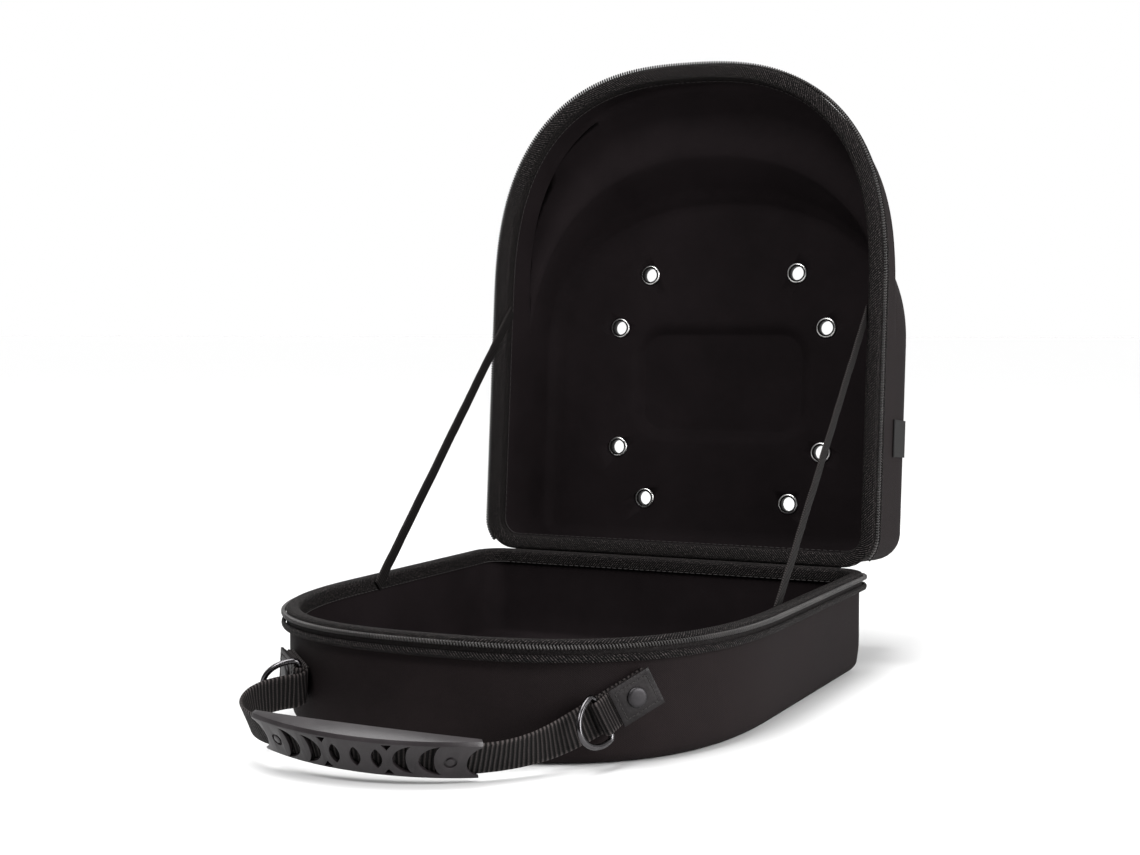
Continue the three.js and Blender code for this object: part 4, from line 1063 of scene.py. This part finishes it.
def crescentOutline(side, deep, halfHigh, thick):      # between two half ellipses that share their horns
    turns = [pi / 2 + pi * i / 18 for i in range(19)]
    back = [(deep + deep * cos(a), halfHigh * sin(a)) for a in turns]
    front = [(deep + (deep - thick) * cos(a), halfHigh * sin(a)) for a in reversed(turns)]
    return [(side * x, y) for x, y in back + front[1:-1]]


def makeGrip(form):
    w, c, thick = form["height"] / 2, form["bevel"], form["front"][0] * 2

    def section(along):
        front, back = gripFace(form["front"], along), -gripFace(form["back"], along)
        return [(w - c, front), (c - w, front), (-w, front - c), (-w, back + c), (c - w, back), (w - c, back),
                (w, back + c), (w, front - c)]

    grip = addPiece("handleGrip", gripSweep(section, 0), ["grip"], ["handle_grip"], 0)
    slotWide, slotThick = handleForm["webWidth"] / 2 + form["slotClear"], webLayer / 2 + form["slotClear"]
    slot = [(slotWide, slotThick), (-slotWide, slotThick), (-slotWide, -slotThick), (slotWide, -slotThick)]
    cutWith(grip, gripSweep(lambda along: slot, 2))
    cutter = bmesh.new()
    for number in (-1, 0, 1):
        prism(cutter, lensOutline(*form["lensHalf"]), gripMatrix(number * form["lensPitch"]), thick)
    radius = (form["notchHalf"] ** 2 + form["notchDepth"] ** 2) / (2 * form["notchDepth"])
    spurWide, spurHigh, spurMiddle = form["spur"]
    for side in (-1, 1):
        for at, deep, halfHigh, width in form["crescents"]:
            prism(cutter, crescentOutline(side, deep, halfHigh, width), gripMatrix(side * at), thick)
        for high in (-1, 1):
            low, top = high * (spurMiddle - spurHigh / 2), high * (spurMiddle + spurHigh / 2)
            spur = [(-spurWide / 2, top), (0, low), (spurWide / 2, top)]
            prism(cutter, spur, gripMatrix(side * form["spurAt"]), thick)
        notch = arcPoints(side * (radius - form["notchDepth"]), 0, radius, 0, 2 * pi, 40)[:-1]
        prism(cutter, notch, gripMatrix(side * form["half"]), thick)
    faceOut(cutter)
    cutWith(grip, cutter)
    cutter = bmesh.new()
    low, high = gripFace(form["front"], form["markAt"]) - form["markDeep"], form["front"][0] + 1
    markOuter, markInner = form["markRadius"], form["markRadius"] - form["markGroove"]
    for side in (-1, 1):
        spinProfile(cutter, [(markInner, low), (markOuter, low), (markOuter, high), (markInner, high)], 28)
        fresh = [v for v in cutter.verts if v.co.length < 0.02]      # the other mark is already in its place
        bmesh.ops.transform(cutter, verts=fresh, matrix=gripMatrix(side * form["markAt"]))
    faceOut(cutter)
    cutWith(grip, cutter)
    edge = grip.modifiers.new("edge", "BEVEL")
    edge.width = form["edge"] * mm
    edge.segments = 2
    edge.limit_method = "ANGLE"
    edge.angle_limit = radians(38)
    settle(grip)
    grip.data.shade_smooth()
    grip.data.set_sharp_from_angle(angle=radians(40))


def makeRingLoop(side, form):
    tab = TabFrame(side)
    radius = form["wire"] + clear + webLayer / 2
    neck = form["patchLong"] / 2 - 1
    low, high = loopOff + webLayer / 2, patchOff - clear - webLayer / 2
    ringAt = form[side]["ringAt"]
    path = [(-neck, low), (neck, low), (ringAt - 2, low)]
    path += arcPoints(ringAt, barOff, radius, -pi / 2, pi / 2, 12)
    path += [(neck + 0.6, high), (-neck, high)]
    stations = [tab.at(along, off) for along, off in path]
    width = form["webWidth"] - form["loopNarrower"]
    bm = makeStrap(stations, [tab.across] * len(stations), width, webLayer)
    addSidePiece(side, "ringLoop", bm, "loopWebbing", "loop")


def makeRing(side, form):
    tab = TabFrame(side)
    swing = radians(form[side]["swing"])
    reach = tab.down * cos(swing) + tab.out * sin(swing)
    middle = tab.at(form[side]["ringAt"], barOff)
    half, corner = form["ringBar"] / 2, form["ringCorner"]
    path = [(-half + corner + (half - corner) * 2 * i / 8, 0) for i in range(9)]
    turns = [i / 36 * pi for i in range(37)]
    path += [(half * cos(turn), corner + (form["ringReach"] - corner) * sin(turn)) for turn in turns]
    flat = tab.across.cross(reach).normalized()
    places = [middle + tab.across * wide + reach * out for wide, out in path]
    rings = []
    for k, place in enumerate(places):
        along = (places[(k + 1) % len(places)] - places[k - 1]).normalized()
        away = along.cross(flat).normalized()
        rings.append([(place + (flat * cos(turn) + away * sin(turn)) * form["wire"]) * mm
                      for turn in [i / 12 * 2 * pi for i in range(12)]])
    bm = bmesh.new()
    sweepRings(bm, rings, closedPath=True)
    addSidePiece(side, "ring", bm, "ringMetal", "d_ring")


# a flat block; sinkAt gives how far its face sinks, from the distance to its edge
def slab(long, wide, thick, cells, sinkAt):
    bm = bmesh.new()
    bmesh.ops.create_grid(bm, x_segments=cells[0], y_segments=cells[1], size=0.5)
    bmesh.ops.scale(bm, vec=(long * mm, wide * mm, 1), verts=bm.verts[:])
    verts = only(bmesh.ops.extrude_face_region(bm, geom=bm.faces[:]), bmesh.types.BMVert)
    bmesh.ops.translate(bm, verts=verts, vec=(0, 0, thick * mm))
    for vert in bm.verts:
        if vert.co.z > 0:
            edge = min(long / 2 - abs(vert.co.x / mm), wide / 2 - abs(vert.co.y / mm))
            vert.co.z -= sinkAt(edge) * mm
    faceOut(bm)
    return bm


def patchSink(edge, form=patchForm):      # the thread pulls the leather down along a line
    if abs(edge - form["threadIn"]) < form["threadHalf"]:
        return form["threadDeep"]
    return form["edgeDeep"] if edge < 0.1 else 0


def makePatch(side, form):
    bm = slab(form["patchLong"], form["patchWide"], form["patchThick"], patchForm["cells"], patchSink)
    bmesh.ops.transform(bm, verts=bm.verts[:], matrix=TabFrame(side).matrix(patchOff))
    addSidePiece(side, "patch", bm, "leather", "patch", 45)


def makePatchStitches(side, form):
    stitch = roundedBlock(*patchForm["stitch"])
    bm = bmesh.new()
    face = TabFrame(side).matrix(patchOff)
    halfX, halfY = [form[key] / 2 - patchForm["threadIn"] for key in ("patchLong", "patchWide")]
    alongCount, acrossCount = patchForm["stitches"]
    spots = [(-halfX + (k + 0.5) * 2 * halfX / alongCount, y, 0)
             for k in range(alongCount) for y in (-halfY, halfY)]
    spots += [(x, -halfY + (k + 0.5) * 2 * halfY / acrossCount, pi / 2)
              for k in range(acrossCount) for x in (-halfX, halfX)]
    for x, y, turn in spots:
        place = Matrix.Translation(Vector((x, y, form["patchThick"] - patchForm["stitchSunk"])) * mm)
        stamp(bm, stitch, face @ place @ Matrix.Rotation(turn, 4, "Z"))
    addPiece(f"patchStitches{sideWords[side]}", bm, ["thread"], (), 60)


def makeRivet(side):
    bm = bmesh.new()
    spinProfile(bm, rivetProfile, 32, closed=False)
    bmesh.ops.remove_doubles(bm, verts=bm.verts[:], dist=1e-6)
    faceOut(bm)
    bmesh.ops.transform(bm, verts=bm.verts[:], matrix=TabFrame(side).matrix(rivetOff))
    addSidePiece(side, "rivet", bm, "darkMetal", "rivet")


makeWebbingStrap()
makeGrip(gripForm)
for side in (-1, 1):
    makeRingLoop(side, handleForm)
    makeRing(side, handleForm)
    makePatch(side, handleForm)
    makePatchStitches(side, handleForm)
    makeRivet(side)
print("handle ready")


# label, slider and pull
labelForm = {"long": 24, "high": 21, "thick": 0.8, "depth": 49, "fromHinge": 74, "off": 0.35,
             "edgeDeep": 0.3, "hem": 2.2, "hemDeep": 0.2, "cells": (24, 21)}


def labelSink(edge, form=labelForm):      # soft edges, and a face a little lower than its hem
    if edge < 0.2:
        return form["edgeDeep"]
    return form["hemDeep"] if edge > form["hem"] else 0


def makeLabel(form):
    wall = halfWidth - lidForm["inset"] - lidForm["draft"] * form["depth"] / lidForm["depth"]
    bm = slab(form["high"], form["long"], form["thick"], form["cells"], labelSink)
    origin = lidPlace(0, 0, 0)
    alongV = (lidPlace(0, 1, 0) - origin).normalized()
    alongD = (lidPlace(0, 0, 1) - origin).normalized()
    out = alongV.cross(alongD)
    if out.x < 0:
        alongD, out = -alongD, -out
    centre = lidPlace(wall + form["off"], form["fromHinge"], form["depth"])
    bmesh.ops.transform(bm, verts=bm.verts[:], matrix=axesAt(centre, alongV, alongD, out))
    addPiece("sideLabel", bm, ["label"], ["side_label"], 45)


makeLabel(labelForm)


def dressNode(name, finishName):      # a CAD node that keeps its shape takes a finish
    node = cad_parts[name]
    node.data.materials.clear()
    node.data.materials.append(finishes[finishName])


for name in ("zip_slider", "zip_pull"):
    dressNode(name, "darkMetal")
print("label and slider ready")


# floor and light
stageSetup = {"floor": (0.62, 0.62, 0.62), "floorHalf": 60, "bright": (-0.42, 0.88, 0.22),
              "skyRange": (-0.5, 0.55, 0.1, 1.0), "sun": 3.0, "sunSize": 36, "sunTurn": (3, -9, 0)}
lampTable = {      # each soft lamp: its place, what it faces, its size and its power
    "key": ((1.45, -0.35, 0.55), (0, 0, 0.12), 0.9, 35),
    "front": ((-0.1, -1.1, 1.25), (0, 0.1, 0.2), 0.5, 16),
}


def makeStage(setup):
    bm = bmesh.new()
    bmesh.ops.create_grid(bm, x_segments=4, y_segments=4, size=setup["floorHalf"])
    mesh = meshFrom(bm, "floor")
    paint = Finish("floorPaint", roughness=0.9)
    tone = noiseAt(paint.tree, paint.where["Object"], 3.0)
    paint.colours(tone, setup["floor"], tuple(c + 0.01 for c in setup["floor"]))
    mesh.materials.append(paint.material)
    addObject("floor", mesh)


def makeLight(name, place, target, size, power):
    lamp = bpy.data.lights.new(name, "AREA")
    lamp.size = size
    lamp.energy = power
    holder = addObject(name, lamp)
    holder.location = place
    holder.rotation_euler = lookAlong(Vector(target) - Vector(place))


def makeWorld(setup):      # a white studio: bright behind and above the case, dim in front of it
    world = bpy.data.worlds.new("studio")
    world.use_nodes = True
    tree = world.node_tree
    facing = addNode(tree, "VectorMath")
    facing.operation = "DOT_PRODUCT"
    facing.inputs[1].default_value = setup["bright"]
    feed(tree, facing.inputs[0], addNode(tree, "TexCoord").outputs["Generated"])
    ramp = addNode(tree, "MapRange", Value=facing.outputs["Value"])
    for label, value in zip(("From Min", "From Max", "To Min", "To Max"), setup["skyRange"]):
        ramp.inputs[label].default_value = value
    background = tree.nodes["Background"]
    background.inputs["Color"].default_value = (1, 1, 1, 1)
    feed(tree, background.inputs["Strength"], ramp.outputs[0])
    scene.world = world


def makeLighting(setup):
    makeWorld(setup)
    sun = bpy.data.lights.new("sun", "SUN")
    sun.energy = setup["sun"]
    sun.angle = radians(setup["sunSize"])
    addObject("sun", sun).rotation_euler = [radians(turn) for turn in setup["sunTurn"]]
    for name, values in lampTable.items():
        makeLight(name, *values)


makeStage(stageSetup)
makeLighting(stageSetup)
scene.view_settings.view_transform = "Standard"
